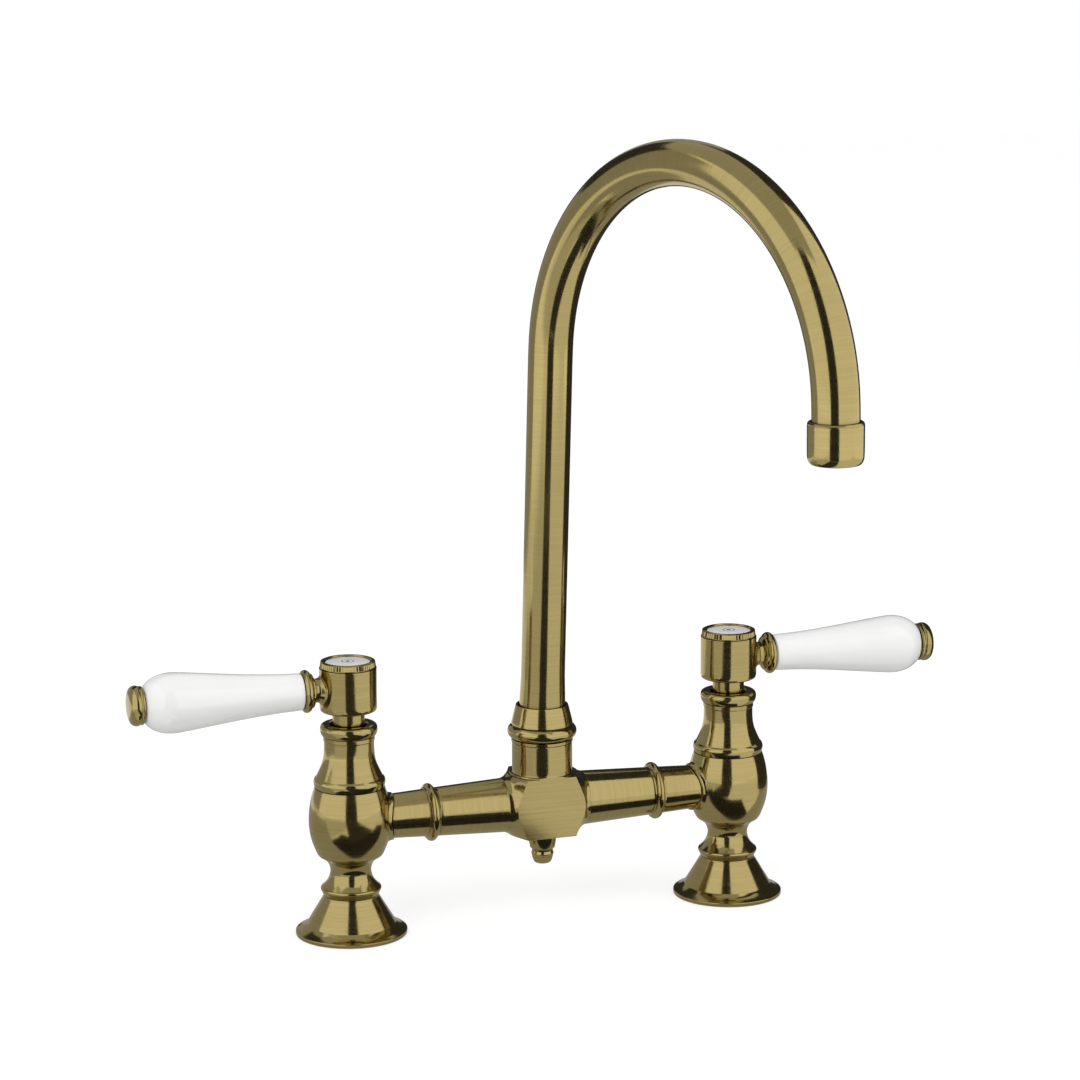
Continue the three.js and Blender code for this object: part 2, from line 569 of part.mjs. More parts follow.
// ---------------------------------------------------------------- lever, turned about its own length
// Stem and ferrule in one: a stud in the hub, a flared foot that fits the hub's side, a neck and a bead.
function leverFerrule() {
  const seat = PORCELAIN_START - SEAM;
  const well = seat - WASHER_THICKNESS;
  const outline = new THREE.Path();
  outline.moveTo(0, HUB_RADIUS - 2.5);
  outline.lineTo(STEM_FLARE_RADIUS, HUB_RADIUS - 2.5);
  outline.lineTo(STEM_FLARE_RADIUS, HUB_RADIUS - 0.6);
  outline.lineTo(STEM_RADIUS, HUB_RADIUS + 1.5);
  outline.lineTo(STEM_RADIUS, FERRULE_FACE);
  outline.lineTo(FERRULE_RADIUS - 1.6, FERRULE_FACE + 0.4);
  outline.lineTo(FERRULE_RADIUS - 1.3, FERRULE_FACE + 1.2);
  outline.lineTo(FERRULE_RADIUS, FERRULE_FACE + 2.2);
  outline.lineTo(FERRULE_RADIUS, seat - 1.2);
  outline.lineTo(FERRULE_RADIUS - 1, seat);
  outline.lineTo(WASHER_RADIUS + SEAM, seat);
  outline.lineTo(WASHER_RADIUS + SEAM, well);
  outline.lineTo(TIE_ROD_RADIUS + SEAM, well);
  outline.lineTo(TIE_ROD_RADIUS + SEAM, HUB_RADIUS + 1);
  outline.lineTo(0, HUB_RADIUS + 1);
  const body = alongX(turned(outline, ROUND_LEVER));
  const hub = rod(HUB_RADIUS + SEAM, -20, 20, ROUND);
  const stud = alongX(rod(STUD_RADIUS, HUB_RADIUS - STUD_LENGTH, HUB_RADIUS + 0.8));
  return joined(cut(body, hub), stud);
}

const TIE_ROD_START = HUB_RADIUS + 1 + SEAM;
const TIE_ROD_END = LEVER_TIP - 3;

function porcelainLever() {
  const outline = new THREE.Path();
  outline.moveTo(PORCELAIN_BORE, PORCELAIN_START);
  outline.lineTo(PORCELAIN_START_RADIUS - 0.3, PORCELAIN_START);
  outline.lineTo(PORCELAIN_START_RADIUS, PORCELAIN_START + 0.5);
  const thickest = PORCELAIN_START + PORCELAIN_SWELL;
  outline.bezierCurveTo(
    PORCELAIN_START_RADIUS + 0.6, PORCELAIN_START + 0.38 * PORCELAIN_SWELL,
    PORCELAIN_MAX_RADIUS, PORCELAIN_START + 0.76 * PORCELAIN_SWELL,
    PORCELAIN_MAX_RADIUS, thickest);
  outline.bezierCurveTo(
    PORCELAIN_MAX_RADIUS, thickest + 7,
    PORCELAIN_END_RADIUS + 3.6, PORCELAIN_END - 2.4,
    PORCELAIN_END_RADIUS, PORCELAIN_END);
  outline.lineTo(PORCELAIN_BORE, PORCELAIN_END);
  return alongX(turned(outline, ROUND_LEVER, 3));
}

const leverWasher = (from) =>
  alongX(ring(TIE_ROD_RADIUS + SEAM, WASHER_RADIUS, from, from + WASHER_THICKNESS - SEAM));

function endKnob() {
  const seat = PORCELAIN_END + SEAM;
  const well = seat + WASHER_THICKNESS;
  const outline = new THREE.Path();
  outline.moveTo(TIE_ROD_RADIUS + SEAM, well);
  outline.lineTo(WASHER_RADIUS + SEAM, well);
  outline.lineTo(WASHER_RADIUS + SEAM, seat);
  outline.lineTo(KNOB_RADIUS - 1, seat);
  outline.lineTo(KNOB_RADIUS, seat + 2);
  outline.lineTo(KNOB_RADIUS, seat + 3.8);
  outline.lineTo(KNOB_RADIUS - 2.4, LEVER_TIP - 0.9);
  outline.lineTo(0, LEVER_TIP);
  outline.lineTo(0, TIE_ROD_END + SEAM);
  outline.lineTo(TIE_ROD_RADIUS + SEAM, TIE_ROD_END + SEAM);
  return alongX(turned(outline, ROUND_LEVER));
}

// ---------------------------------------------------------------- bridge
// Distances along an arm run from the middle of the bridge.
const ARM_START = BLOCK_HALF_LENGTH + SEAM;
const ARM_END = PILLAR_SPACING / 2 - COLLAR_FACE - SEAM;
const armRadius = (at) =>
  ARM_BLOCK_RADIUS + ((ARM_PILLAR_RADIUS - ARM_BLOCK_RADIUS) * (at - ARM_START)) / (ARM_END - ARM_START);
const SPIGOT_RING_AT = ARM_END + 0.45 * ARM_SPIGOT_LENGTH;

// Tapered arm with a bead, screwed into the block and sealed in the pillar's collar.
function bridgeArm() {
  const beadFrom = ARM_BEAD_AT - ARM_BEAD_HALF;
  const beadTo = ARM_BEAD_AT + ARM_BEAD_HALF;
  const tube = new THREE.Path();
  tube.moveTo(BRIDGE_BORE, ARM_START - BLOCK_SPIGOT_LENGTH);
  tube.lineTo(BLOCK_SPIGOT_RADIUS, ARM_START - BLOCK_SPIGOT_LENGTH);
  tube.lineTo(BLOCK_SPIGOT_RADIUS, ARM_START);
  tube.lineTo(ARM_BLOCK_RADIUS, ARM_START);
  tube.lineTo(armRadius(beadFrom), beadFrom);
  tube.quadraticCurveTo(ARM_BEAD_RADIUS, beadFrom + 0.2, ARM_BEAD_RADIUS, ARM_BEAD_AT);
  tube.quadraticCurveTo(ARM_BEAD_RADIUS, beadTo - 0.2, armRadius(beadTo), beadTo);
  const pastBulb = PILLAR_SPACING / 2 - BULB_RADIUS + 4;
  tube.lineTo(armRadius(pastBulb), pastBulb);
  tube.lineTo(BRIDGE_BORE, pastBulb);
  const arm = alongX(turned(tube, ROUND_LEVER));
  const fishMouth = rod(COLLAR_FACE + SEAM, -40, 40, ROUND).translate(PILLAR_SPACING / 2, 0, 0);
  const groove = ARM_SPIGOT_RADIUS - RING_SECTION + 0.6;
  const spigotTip = ARM_END + SEAM + ARM_SPIGOT_LENGTH;
  const spigot = alongX(turned(corners(
    [BRIDGE_BORE, ARM_END - 4],
    [ARM_SPIGOT_RADIUS, ARM_END - 4],
    [ARM_SPIGOT_RADIUS, SPIGOT_RING_AT],
    [groove, SPIGOT_RING_AT],
    [groove, SPIGOT_RING_AT + RING_SECTION + 0.4],
    [ARM_SPIGOT_RADIUS, SPIGOT_RING_AT + RING_SECTION + 0.4],
    [ARM_SPIGOT_RADIUS, spigotTip],
    [BRIDGE_BORE, spigotTip],
  ), ROUND_SMALL));
  return joined(cut(arm, fishMouth), spigot);
}

function armRing() {
  const inner = ARM_SPIGOT_RADIUS - RING_SECTION + 0.75;
  const from = SPIGOT_RING_AT + 0.2;
  return alongX(ring(inner, ARM_SPIGOT_RADIUS + 0.15, from, from + RING_SECTION));
}

const BLOCK_TOP = BRIDGE_HEIGHT + BLOCK_SIDE / 2;
const NUT_SEAT = BLOCK_TOP + SOCKET_HEIGHT;
const SOCKET_TOP = NUT_SEAT + SOCKET_THREAD_LENGTH;

// Square bar whose ends are turned down to the arms, so each flat runs out in a curved edge, with the
// spout's socket standing on top.
function bridgeBlock() {
  const cornerRadius = BLOCK_SIDE / Math.SQRT2 + 0.2;
  const halfEnd = new THREE.Path();
  halfEnd.moveTo(0, -BLOCK_HALF_LENGTH);
  halfEnd.lineTo(ARM_BLOCK_RADIUS, -BLOCK_HALF_LENGTH);
  halfEnd.quadraticCurveTo(15.6, -16.6, cornerRadius, -BLOCK_CORNER_AT);
  halfEnd.lineTo(cornerRadius, BLOCK_CORNER_AT);
  halfEnd.quadraticCurveTo(15.6, 16.6, ARM_BLOCK_RADIUS, BLOCK_HALF_LENGTH);
  halfEnd.lineTo(0, BLOCK_HALF_LENGTH);
  const turnedBar = alongX(turned(halfEnd, 2 * ROUND));
  const bar = common(turnedBar, box(3 * BLOCK_SIDE, BLOCK_SIDE, BLOCK_SIDE)).translate(0, 0, BRIDGE_HEIGHT);
  const socket = new THREE.Path();
  socket.moveTo(0, BLOCK_TOP - 3);
  socket.lineTo(SOCKET_RADIUS + SOCKET_FOOT_STEP, BLOCK_TOP - 3);
  socket.lineTo(SOCKET_RADIUS + SOCKET_FOOT_STEP, BLOCK_TOP);
  socket.lineTo(SOCKET_RADIUS, BLOCK_TOP + SOCKET_FOOT_HEIGHT);
  socket.lineTo(SOCKET_RADIUS, NUT_SEAT - 1.8);
  socket.lineTo(SOCKET_RADIUS + 0.3, NUT_SEAT - 1.4);
  socket.lineTo(SOCKET_RADIUS + 0.3, NUT_SEAT);
  socket.lineTo(SOCKET_THREAD_RADIUS, NUT_SEAT);
  socket.lineTo(SOCKET_THREAD_RADIUS, SOCKET_TOP);
  socket.lineTo(0, SOCKET_TOP);
  const flats = box(3 * BLOCK_SIDE, BLOCK_SIDE, 4 * BLOCK_SIDE).translate(0, 0, BLOCK_TOP);
  const upright = common(turned(socket), flats);
  const floor = SOCKET_TOP - SOCKET_DEPTH;
  const well = rod(bearing(SPOUT_RING_RADIUS, ROUND), floor, SOCKET_TOP + 1, ROUND);
  const passage = rod(BRIDGE_BORE + 1, BRIDGE_HEIGHT, floor + 1);
  const spigotEnd = BLOCK_HALF_LENGTH - BLOCK_SPIGOT_LENGTH;
  const lying = (geometry) => alongX(geometry).translate(0, 0, BRIDGE_HEIGHT);
  const bore = lying(rod(BRIDGE_BORE, -spigotEnd - 1, spigotEnd + 1));
  const counterbore = rod(BLOCK_SPIGOT_RADIUS + SEAM, spigotEnd, BLOCK_HALF_LENGTH + 2, ROUND_LEVER);
  const coldEnd = lying(counterbore);
  const hotEnd = coldEnd.clone().rotateZ(Math.PI);
  const finialTip = BLOCK_TOP - BLOCK_SIDE + FINIAL_THREAD_LENGTH;
  const finialHole = rod(FINIAL_THREAD_RADIUS + SEAM, 0, finialTip + SEAM);
  return cut(joined(bar, upright), well, passage, bore, coldEnd, hotEnd, finialHole);
}

// Small turned finial that closes the block's underside.
function bridgeFinial() {
  const top = BLOCK_TOP - BLOCK_SIDE - SEAM;
  const tip = top - FINIAL_LENGTH + SEAM;
  const outline = new THREE.Path();
  outline.moveTo(0, tip);
  outline.lineTo(3.2, tip);
  outline.quadraticCurveTo(FINIAL_RADIUS - 1.9, tip + 0.3, FINIAL_RADIUS - 1.7, tip + 2.6);
  outline.lineTo(FINIAL_RADIUS - 1.4, tip + 5);
  outline.lineTo(FINIAL_RADIUS - 1.9, tip + 6.9);
  outline.lineTo(FINIAL_RADIUS - 0.8, tip + 7.7);
  outline.lineTo(FINIAL_RADIUS, top);
  outline.lineTo(FINIAL_THREAD_RADIUS, top);
  outline.lineTo(FINIAL_THREAD_RADIUS, top + FINIAL_THREAD_LENGTH);
  outline.lineTo(0, top + FINIAL_THREAD_LENGTH);
  return turned(outline, ROUND_SMALL);
}

// ---------------------------------------------------------------- nut and spout foot
const NUT_BOTTOM = NUT_SEAT + SEAM;
const NUT_TOP = NUT_BOTTOM + NUT_HEIGHT;
const COLLAR_BOTTOM = SOCKET_TOP + SEAM;
const COLLAR_TOP = COLLAR_BOTTOM + FERRULE_COLLAR_THICKNESS;
const SLIP_RING_TOP = COLLAR_TOP + SEAM + SLIP_RING_THICKNESS;
const TUBE_START = COLLAR_TOP + SEAM;
const LEAN_START = TUBE_START + SPOUT_STRAIGHT;
const SWAGE_END = NUT_TOP + SWAGE_LENGTH;
const leanShift = (height) => (height - LEAN_START) * Math.tan(THREE.MathUtils.degToRad(SPOUT_LEAN));
const NUT_MOUTH = bearing(SPOUT_FOOT_RADIUS + leanShift(NUT_TOP) - SEAM / 2, ROUND);

function spoutNut() {
  const thread = SOCKET_THREAD_RADIUS + SEAM;
  const shoulder = SLIP_RING_TOP + SEAM;
  const beadRadius = SOCKET_RADIUS + NUT_BEAD_STEP;
  const coneRadius = SOCKET_RADIUS + NUT_CONE_STEP;
  const topRadius = SPOUT_FOOT_RADIUS + NUT_RIM;
  const outline = new THREE.Path();
  outline.moveTo(thread, NUT_BOTTOM);
  outline.lineTo(SOCKET_RADIUS, NUT_BOTTOM);
  outline.lineTo(beadRadius - 0.3, NUT_BOTTOM + 1.4);
  outline.lineTo(beadRadius, NUT_BOTTOM + 3);
  outline.lineTo(beadRadius - 0.4, NUT_BOTTOM + 5);
  outline.lineTo(coneRadius, NUT_BOTTOM + 6.3);
  outline.lineTo(coneRadius - 0.3, NUT_BOTTOM + 6.6);
  outline.lineTo(coneRadius, NUT_BOTTOM + 6.9);
  outline.lineTo(topRadius, NUT_TOP);
  outline.lineTo(NUT_MOUTH, NUT_TOP);
  outline.lineTo(NUT_MOUTH, shoulder);
  outline.lineTo(thread, shoulder);
  return turned(outline);
}

const slipRing = () =>
  ring(bearing(SPOUT_FOOT_RADIUS, ROUND), SOCKET_THREAD_RADIUS, COLLAR_TOP + SEAM, SLIP_RING_TOP, ROUND);

const RING_HEIGHTS = [COLLAR_BOTTOM - 18, COLLAR_BOTTOM - 8];

// Turned foot brazed into the tube. Its collar is trapped under the nut and its spigot turns in the socket.
function spoutFerrule() {
  const spigot = SPOUT_SPIGOT_RADIUS;
  const bore = SPOUT_PLUG_RADIUS - SPOUT_FERRULE_WALL;
  const foot = COLLAR_BOTTOM - SPOUT_FERRULE_DEPTH;
  const groove = SPOUT_RING_RADIUS - RING_SECTION - SEAM / 2;
  const outline = corners([bore, foot], [spigot, foot]);
  for (const height of RING_HEIGHTS) {
    outline.lineTo(spigot, height);
    outline.lineTo(groove, height);
    outline.lineTo(groove, height + RING_SECTION + 0.4);
    outline.lineTo(spigot, height + RING_SECTION + 0.4);
  }
  outline.lineTo(spigot, COLLAR_BOTTOM);
  outline.lineTo(SOCKET_THREAD_RADIUS - 0.1, COLLAR_BOTTOM);
  outline.lineTo(SOCKET_THREAD_RADIUS - 0.1, COLLAR_TOP);
  outline.lineTo(SPOUT_PLUG_RADIUS, COLLAR_TOP);
  outline.lineTo(SPOUT_PLUG_RADIUS, COLLAR_TOP + SPOUT_PLUG_LENGTH);
  outline.lineTo(bore, COLLAR_TOP + SPOUT_PLUG_LENGTH);
  return turned(outline, ROUND_SMALL);
}

function spoutRing(height) {
  const bottom = height + 0.2;
  return ring(SPOUT_RING_RADIUS - RING_SECTION, SPOUT_RING_RADIUS, bottom, bottom + RING_SECTION);
}

// ---------------------------------------------------------------- swan neck
// Centre line in the spout's own plane: a foot, a leaning riser, the arch and the outlet leg. Its sections
// stand close together on the foot and the arch only.
class SwanNeck extends THREE.Curve {
  constructor() {
    super();
    this.lean = THREE.MathUtils.degToRad(SPOUT_LEAN);
    this.sweep = THREE.MathUtils.degToRad(ARCH_SWEEP);
    const foot = LEAN_START - TUBE_START;
    const flare = (SWAGE_END - LEAN_START) / Math.cos(this.lean);
    const arch = ARCH_RADIUS * this.sweep;
    this.stations = [0, foot, foot + 0.45 * flare, foot + 0.7 * flare, foot + flare];
    for (let i = 0; i <= ARCH_STEPS; i++) this.stations.push(foot + RISER_LENGTH + (arch * i) / ARCH_STEPS);
    this.stations.push(foot + RISER_LENGTH + arch + OUTLET_LEG + TUBE_IN_AERATOR);
    this.foot = foot;
  }

  // Point and heading at a distance along the centre line. The heading is the angle from upright.
  at(distance) {
    if (distance < this.foot) return { x: 0, z: TUBE_START + distance, heading: 0 };
    const risen = Math.min(distance - this.foot, RISER_LENGTH);
    let x = risen * Math.sin(this.lean);
    let z = LEAN_START + risen * Math.cos(this.lean);
    const turn = Math.min(Math.max((distance - this.foot - RISER_LENGTH) / ARCH_RADIUS, 0), this.sweep);
    x += ARCH_RADIUS * (Math.cos(this.lean) - Math.cos(this.lean + turn));
    z += ARCH_RADIUS * (Math.sin(this.lean + turn) - Math.sin(this.lean));
    const heading = this.lean + turn;
    const leg = Math.max(distance - this.foot - RISER_LENGTH - ARCH_RADIUS * this.sweep, 0);
    return { x: x + leg * Math.sin(heading), z: z + leg * Math.cos(heading), heading };
  }

  station(u) {
    return this.at(this.stations[Math.round(u * (this.stations.length - 1))]);
  }

  getPointAt(u) {
    const { x, z } = this.station(u);
    return new THREE.Vector3(x, 0, z);
  }

  getTangentAt(u) {
    const { heading } = this.station(u);
    return new THREE.Vector3(Math.sin(heading), 0, Math.cos(heading));
  }
}

const swanNeck = new SwanNeck();

// Radius of the tube over its nominal one, from the swaged foot up to the plain tube.
function swage(height) {
  const share = THREE.MathUtils.clamp((SWAGE_END - height) / (SWAGE_END - NUT_TOP), 0, 1);
  return 1 + (SPOUT_FOOT_RADIUS / SPOUT_RADIUS - 1) * THREE.MathUtils.smoothstep(share, 0, 1);
}

function spoutTube() {
  const section = new THREE.Shape();
  section.absarc(0, 0, SPOUT_RADIUS, 0, 2 * Math.PI, false);
  const bore = new THREE.Path();
  bore.absarc(0, 0, SPOUT_RADIUS - SPOUT_WALL, 0, 2 * Math.PI, true);
  section.holes.push(bore);
  const steps = swanNeck.stations.length - 1;
  const options = { steps, extrudePath: swanNeck, curveSegments: ROUND_LEVER / 2 };
  const tube = new THREE.ExtrudeGeometry(section, options);
  const position = tube.getAttribute("position");
  for (let i = 0; i < position.count; i++) {
    const z = position.getZ(i);
    if (z > SWAGE_END || position.getX(i) > 2 * SPOUT_RADIUS) continue;
    const centre = Math.max(leanShift(z), 0);
    position.setX(i, centre + (position.getX(i) - centre) * swage(z));
    position.setY(i, position.getY(i) * swage(z));
  }
  return tube;
}

// ---------------------------------------------------------------- aerator, down from its collar's top
function aeratorCollar() {
  const thread = AERATOR_RADIUS - AERATOR_WALL;
  const mouth = thread - 1.2;
  const ledge = TUBE_IN_AERATOR + SEAM;
  const outline = new THREE.Path();
  outline.moveTo(SPOUT_RADIUS + SEAM, 0);
  outline.lineTo(AERATOR_RADIUS - AERATOR_CHAMFER, 0);
  outline.lineTo(AERATOR_RADIUS, -AERATOR_CHAMFER);
  outline.lineTo(AERATOR_RADIUS, -AERATOR_LENGTH + AERATOR_ROUNDING);
  outline.quadraticCurveTo(
    AERATOR_RADIUS, -AERATOR_LENGTH, AERATOR_RADIUS - 0.75 * AERATOR_ROUNDING, -AERATOR_LENGTH);
  outline.lineTo(mouth, -AERATOR_LENGTH);
  outline.lineTo(mouth, -AERATOR_LENGTH + AERATOR_LIP);
  outline.lineTo(thread, -AERATOR_LENGTH + AERATOR_LIP);
  outline.lineTo(thread, -ledge - AERATOR_LEDGE);
  outline.lineTo(AERATOR_LEDGE_BORE, -ledge - AERATOR_LEDGE);
  outline.lineTo(AERATOR_LEDGE_BORE, -ledge);
  outline.lineTo(SPOUT_RADIUS + SEAM, -ledge);
  return turned(outline, ROUND_LEVER);
}

const INSERT_RADIUS = AERATOR_RADIUS - AERATOR_WALL - SEAM;
const INSERT_TOP = -(TUBE_IN_AERATOR + AERATOR_LEDGE + AERATOR_WASHER_THICKNESS + 3 * SEAM);
const INSERT_BOTTOM = -AERATOR_LENGTH + AERATOR_LIP + SEAM;

function aeratorWasher() {
  const bottom = INSERT_TOP + SEAM;
  const top = bottom + AERATOR_WASHER_THICKNESS;
  return ring(AERATOR_LEDGE_BORE - 1, INSERT_RADIUS, bottom, top, ROUND_LEVER);
}

// Cup with a plate of jet holes laid out in hexagonal rings.
function aeratorInsert() {
  const cup = turned(corners(
    [0, INSERT_BOTTOM],
    [INSERT_RADIUS, INSERT_BOTTOM],
    [INSERT_RADIUS, INSERT_TOP],
    [INSERT_RADIUS - INSERT_WALL, INSERT_TOP],
    [INSERT_RADIUS - INSERT_WALL, INSERT_BOTTOM + INSERT_PLATE],
    [0, INSERT_BOTTOM + INSERT_PLATE],
  ), ROUND_LEVER);
  const hole = (x, y) =>
    rod(INSERT_HOLE_RADIUS, INSERT_BOTTOM - 1, INSERT_BOTTOM + INSERT_PLATE + 1, 4).translate(x, y, 0);
  const holes = [hole(0, 0)];
  for (const turns of [1, 2]) {
    for (let i = 0; i < 6 * turns; i++) {
      const angle = (i * Math.PI) / (3 * turns);
      const reach = turns * INSERT_HOLE_PITCH;
      holes.push(hole(reach * Math.cos(angle), reach * Math.sin(angle)));
    }
  }
  return cut(cup, ...holes);
}

// ---------------------------------------------------------------- assembly
// One pillar with everything it carries. Its own +X points away from the bridge.
function pillarAssembly(side, leverTurn) {
  const pillar = new THREE.Group();
  pillar.add(piece(side + "_base_flange", baseFlange(), BRASS));
  pillar.add(piece(side + "_base_gasket", baseGasket(), RUBBER));
  pillar.add(piece(side + "_pillar_body", pillarBody(), BRASS));
  pillar.add(piece(side + "_bonnet", bonnet(), BRASS));
  pillar.add(piece(side + "_cartridge_barrel", cartridgeBarrel(), RAW_BRASS));
  pillar.add(piece(side + "_seat_washer",
    ring(SEAT_WASHER_BORE, DISC_RADIUS, SEAT_HEIGHT + SEAM, WASHER_TOP), RUBBER));
  pillar.add(piece(side + "_fixed_disc", valveDisc(FIXED_DISC_BOTTOM, 0, false), VALVE_CERAMIC));

  const arm = new THREE.Group();
  arm.add(piece(side + "_bridge_arm", bridgeArm(), BRASS));
  arm.add(piece(side + "_arm_ring", armRing(), RUBBER));
  arm.position.set(-PILLAR_SPACING / 2, 0, BRIDGE_HEIGHT);
  pillar.add(arm);

  const handle = new THREE.Group();
  handle.add(piece(side + "_moving_disc", valveDisc(MOVING_DISC_BOTTOM, 90, true), VALVE_CERAMIC));
  handle.add(piece(side + "_spindle", spindle(), RAW_BRASS));
  handle.add(piece(side + "_spindle_ring", spindleRing(), RUBBER));
  handle.add(piece(side + "_lever_hub", leverHub(), BRASS));
  handle.add(piece(side + "_hub_screw", hubScrew(), STEEL));
  handle.add(piece(side + "_index_ring", indexRing(), BRASS));
  handle.add(piece(side + "_index_disc", indexDisc(), PORCELAIN));

  const lever = new THREE.Group();
  lever.add(piece(side + "_lever_ferrule", leverFerrule(), BRASS));
  lever.add(piece(side + "_tie_rod", alongX(rod(TIE_ROD_RADIUS, TIE_ROD_START, TIE_ROD_END)), STEEL));
  lever.add(piece(side + "_inner_washer", leverWasher(PORCELAIN_START - WASHER_THICKNESS), NYLON));
  lever.add(piece(side + "_porcelain_lever", porcelainLever(), PORCELAIN));
  lever.add(piece(side + "_outer_washer", leverWasher(PORCELAIN_END + SEAM), NYLON));
  lever.add(piece(side + "_end_knob", endKnob(), BRASS));
  lever.position.z = LEVER_HEIGHT;
  handle.add(lever);
  handle.rotation.z = THREE.MathUtils.degToRad(leverTurn);
  pillar.add(handle);
  return pillar;
}

function spoutAssembly() {
  const spout = new THREE.Group();
  spout.add(piece("spout_tube", spoutTube(), BRASS));
  spout.add(piece("spout_ferrule", spoutFerrule(), RAW_BRASS));
  spout.add(piece("spout_lower_ring", spoutRing(RING_HEIGHTS[0]), RUBBER));
  spout.add(piece("spout_upper_ring", spoutRing(RING_HEIGHTS[1]), RUBBER));
  const outlet = new THREE.Group();
  outlet.add(piece("aerator_collar", aeratorCollar(), BRASS));
  outlet.add(piece("aerator_washer", aeratorWasher(), RUBBER));
  outlet.add(piece("aerator_insert", aeratorInsert(), NYLON));
  const end = swanNeck.at(swanNeck.stations.at(-1) - TUBE_IN_AERATOR);
  outlet.position.set(end.x, 0, end.z);
  outlet.rotation.y = end.heading - Math.PI;
  spout.add(outlet);
  spout.rotation.z = THREE.MathUtils.degToRad(SPOUT_TURN - 90);
  return spout;
}

const faucet = new THREE.Group();
const hotPillar = pillarAssembly("hot", 0);
hotPillar.position.x = -PILLAR_SPACING / 2;
hotPillar.rotation.z = Math.PI;
const coldPillar = pillarAssembly("cold", -COLD_LEVER_TURN);
coldPillar.position.x = PILLAR_SPACING / 2;
faucet.add(hotPillar, coldPillar);
faucet.add(piece("bridge_block", bridgeBlock(), BRASS));
faucet.add(piece("bridge_finial", bridgeFinial(), BRASS));
faucet.add(piece("spout_nut", spoutNut(), BRASS));
faucet.add(piece("spout_slip_ring", slipRing(), NYLON));
faucet.add(spoutAssembly());

export default faucet;
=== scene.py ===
import math

import bpy
from mathutils import Matrix, Vector


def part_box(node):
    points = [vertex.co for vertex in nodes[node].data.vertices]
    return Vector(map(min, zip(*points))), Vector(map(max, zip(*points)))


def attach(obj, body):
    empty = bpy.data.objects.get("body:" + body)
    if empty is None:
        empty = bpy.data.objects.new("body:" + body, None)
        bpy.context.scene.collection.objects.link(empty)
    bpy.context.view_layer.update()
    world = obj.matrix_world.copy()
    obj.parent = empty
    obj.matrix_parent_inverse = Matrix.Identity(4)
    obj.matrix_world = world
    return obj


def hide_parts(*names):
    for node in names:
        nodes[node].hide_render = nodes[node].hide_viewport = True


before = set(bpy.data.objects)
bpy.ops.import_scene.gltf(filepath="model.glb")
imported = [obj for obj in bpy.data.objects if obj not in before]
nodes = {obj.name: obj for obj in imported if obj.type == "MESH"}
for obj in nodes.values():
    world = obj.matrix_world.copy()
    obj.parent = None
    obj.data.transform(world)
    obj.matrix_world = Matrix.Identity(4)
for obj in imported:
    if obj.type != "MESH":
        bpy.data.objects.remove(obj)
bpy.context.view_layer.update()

# ---------------------------------------------------------------- camera
# A long lens a little above the worktop and to the hot side, where the picture of the faucet was taken.
YAW = math.radians(-18.869)
PITCH = math.radians(11.171)
ROLL = math.radians(-0.236)
CAMERA_DISTANCE = 1.7368
AIMED_AT = Vector((0.00008, 0, 0.20241))
LENS = 117.36
FRAME_SHIFT = (-0.00115, -0.02095)

to_camera = Vector((math.sin(YAW) * math.cos(PITCH), -math.cos(YAW) * math.cos(PITCH), math.sin(PITCH)))
level = Vector((math.cos(YAW), math.sin(YAW), 0))
upright = to_camera.cross(level)
rightwards = level * math.cos(ROLL) + upright * math.sin(ROLL)
upwards = upright * math.cos(ROLL) - level * math.sin(ROLL)

bpy.ops.object.select_all(action="DESELECT")
bpy.ops.object.camera_add()
camera = bpy.context.object
turn = Matrix((rightwards, upwards, to_camera)).transposed().to_4x4()
camera.matrix_world = Matrix.Translation(AIMED_AT + to_camera * CAMERA_DISTANCE) @ turn
camera.data.lens = LENS
camera.data.sensor_width = 36
camera.data.shift_x, camera.data.shift_y = FRAME_SHIFT
bpy.context.scene.camera = camera

# ---------------------------------------------------------------- studio
# A pale worktop and a white surround, with two large soft lamps. Unlit cards stand, lie and hang round the
# faucet as a photographer places them round polished metal: only the reflections in the brass show them.
bpy.context.scene.view_settings.view_transform = "Standard"
SURROUND_FILL = 0.78
WORKTOP_WIDTH = 8
WORKTOP_GAP = 0.0002
WORKTOP_GLOW = 0.66
LAMP_WIDTH = 1.3
LAMPS_AIM = Vector((0, 0, 0.18))
DARK_CARD = 0.035


def seen_itself(tree):
    """1 for a ray from the camera, a gloss or a glass, which sees a surface itself, and 0 for other rays."""
    rays = tree.nodes.new("ShaderNodeLightPath")
    seen = rays.outputs["Is Camera Ray"]
    for kind in ("Is Glossy Ray", "Is Transmission Ray"):
        either = tree.nodes.new("ShaderNodeMath")
        either.operation = "MAXIMUM"
        tree.links.new(seen, either.inputs[0])
        tree.links.new(rays.outputs[kind], either.inputs[1])
        seen = either.outputs[0]
    return seen


surround = bpy.data.worlds.new("surround")
bpy.context.scene.world = surround
surround.use_nodes = True
tree = surround.node_tree
strength = tree.nodes.new("ShaderNodeMapRange")
strength.inputs["To Min"].default_value = SURROUND_FILL
strength.inputs["To Max"].default_value = 1.0
tree.links.new(seen_itself(tree), strength.inputs["Value"])
background = tree.nodes["Background"]
background.inputs["Color"].default_value = (1, 1, 1, 1)
tree.links.new(strength.outputs[0], background.inputs["Strength"])

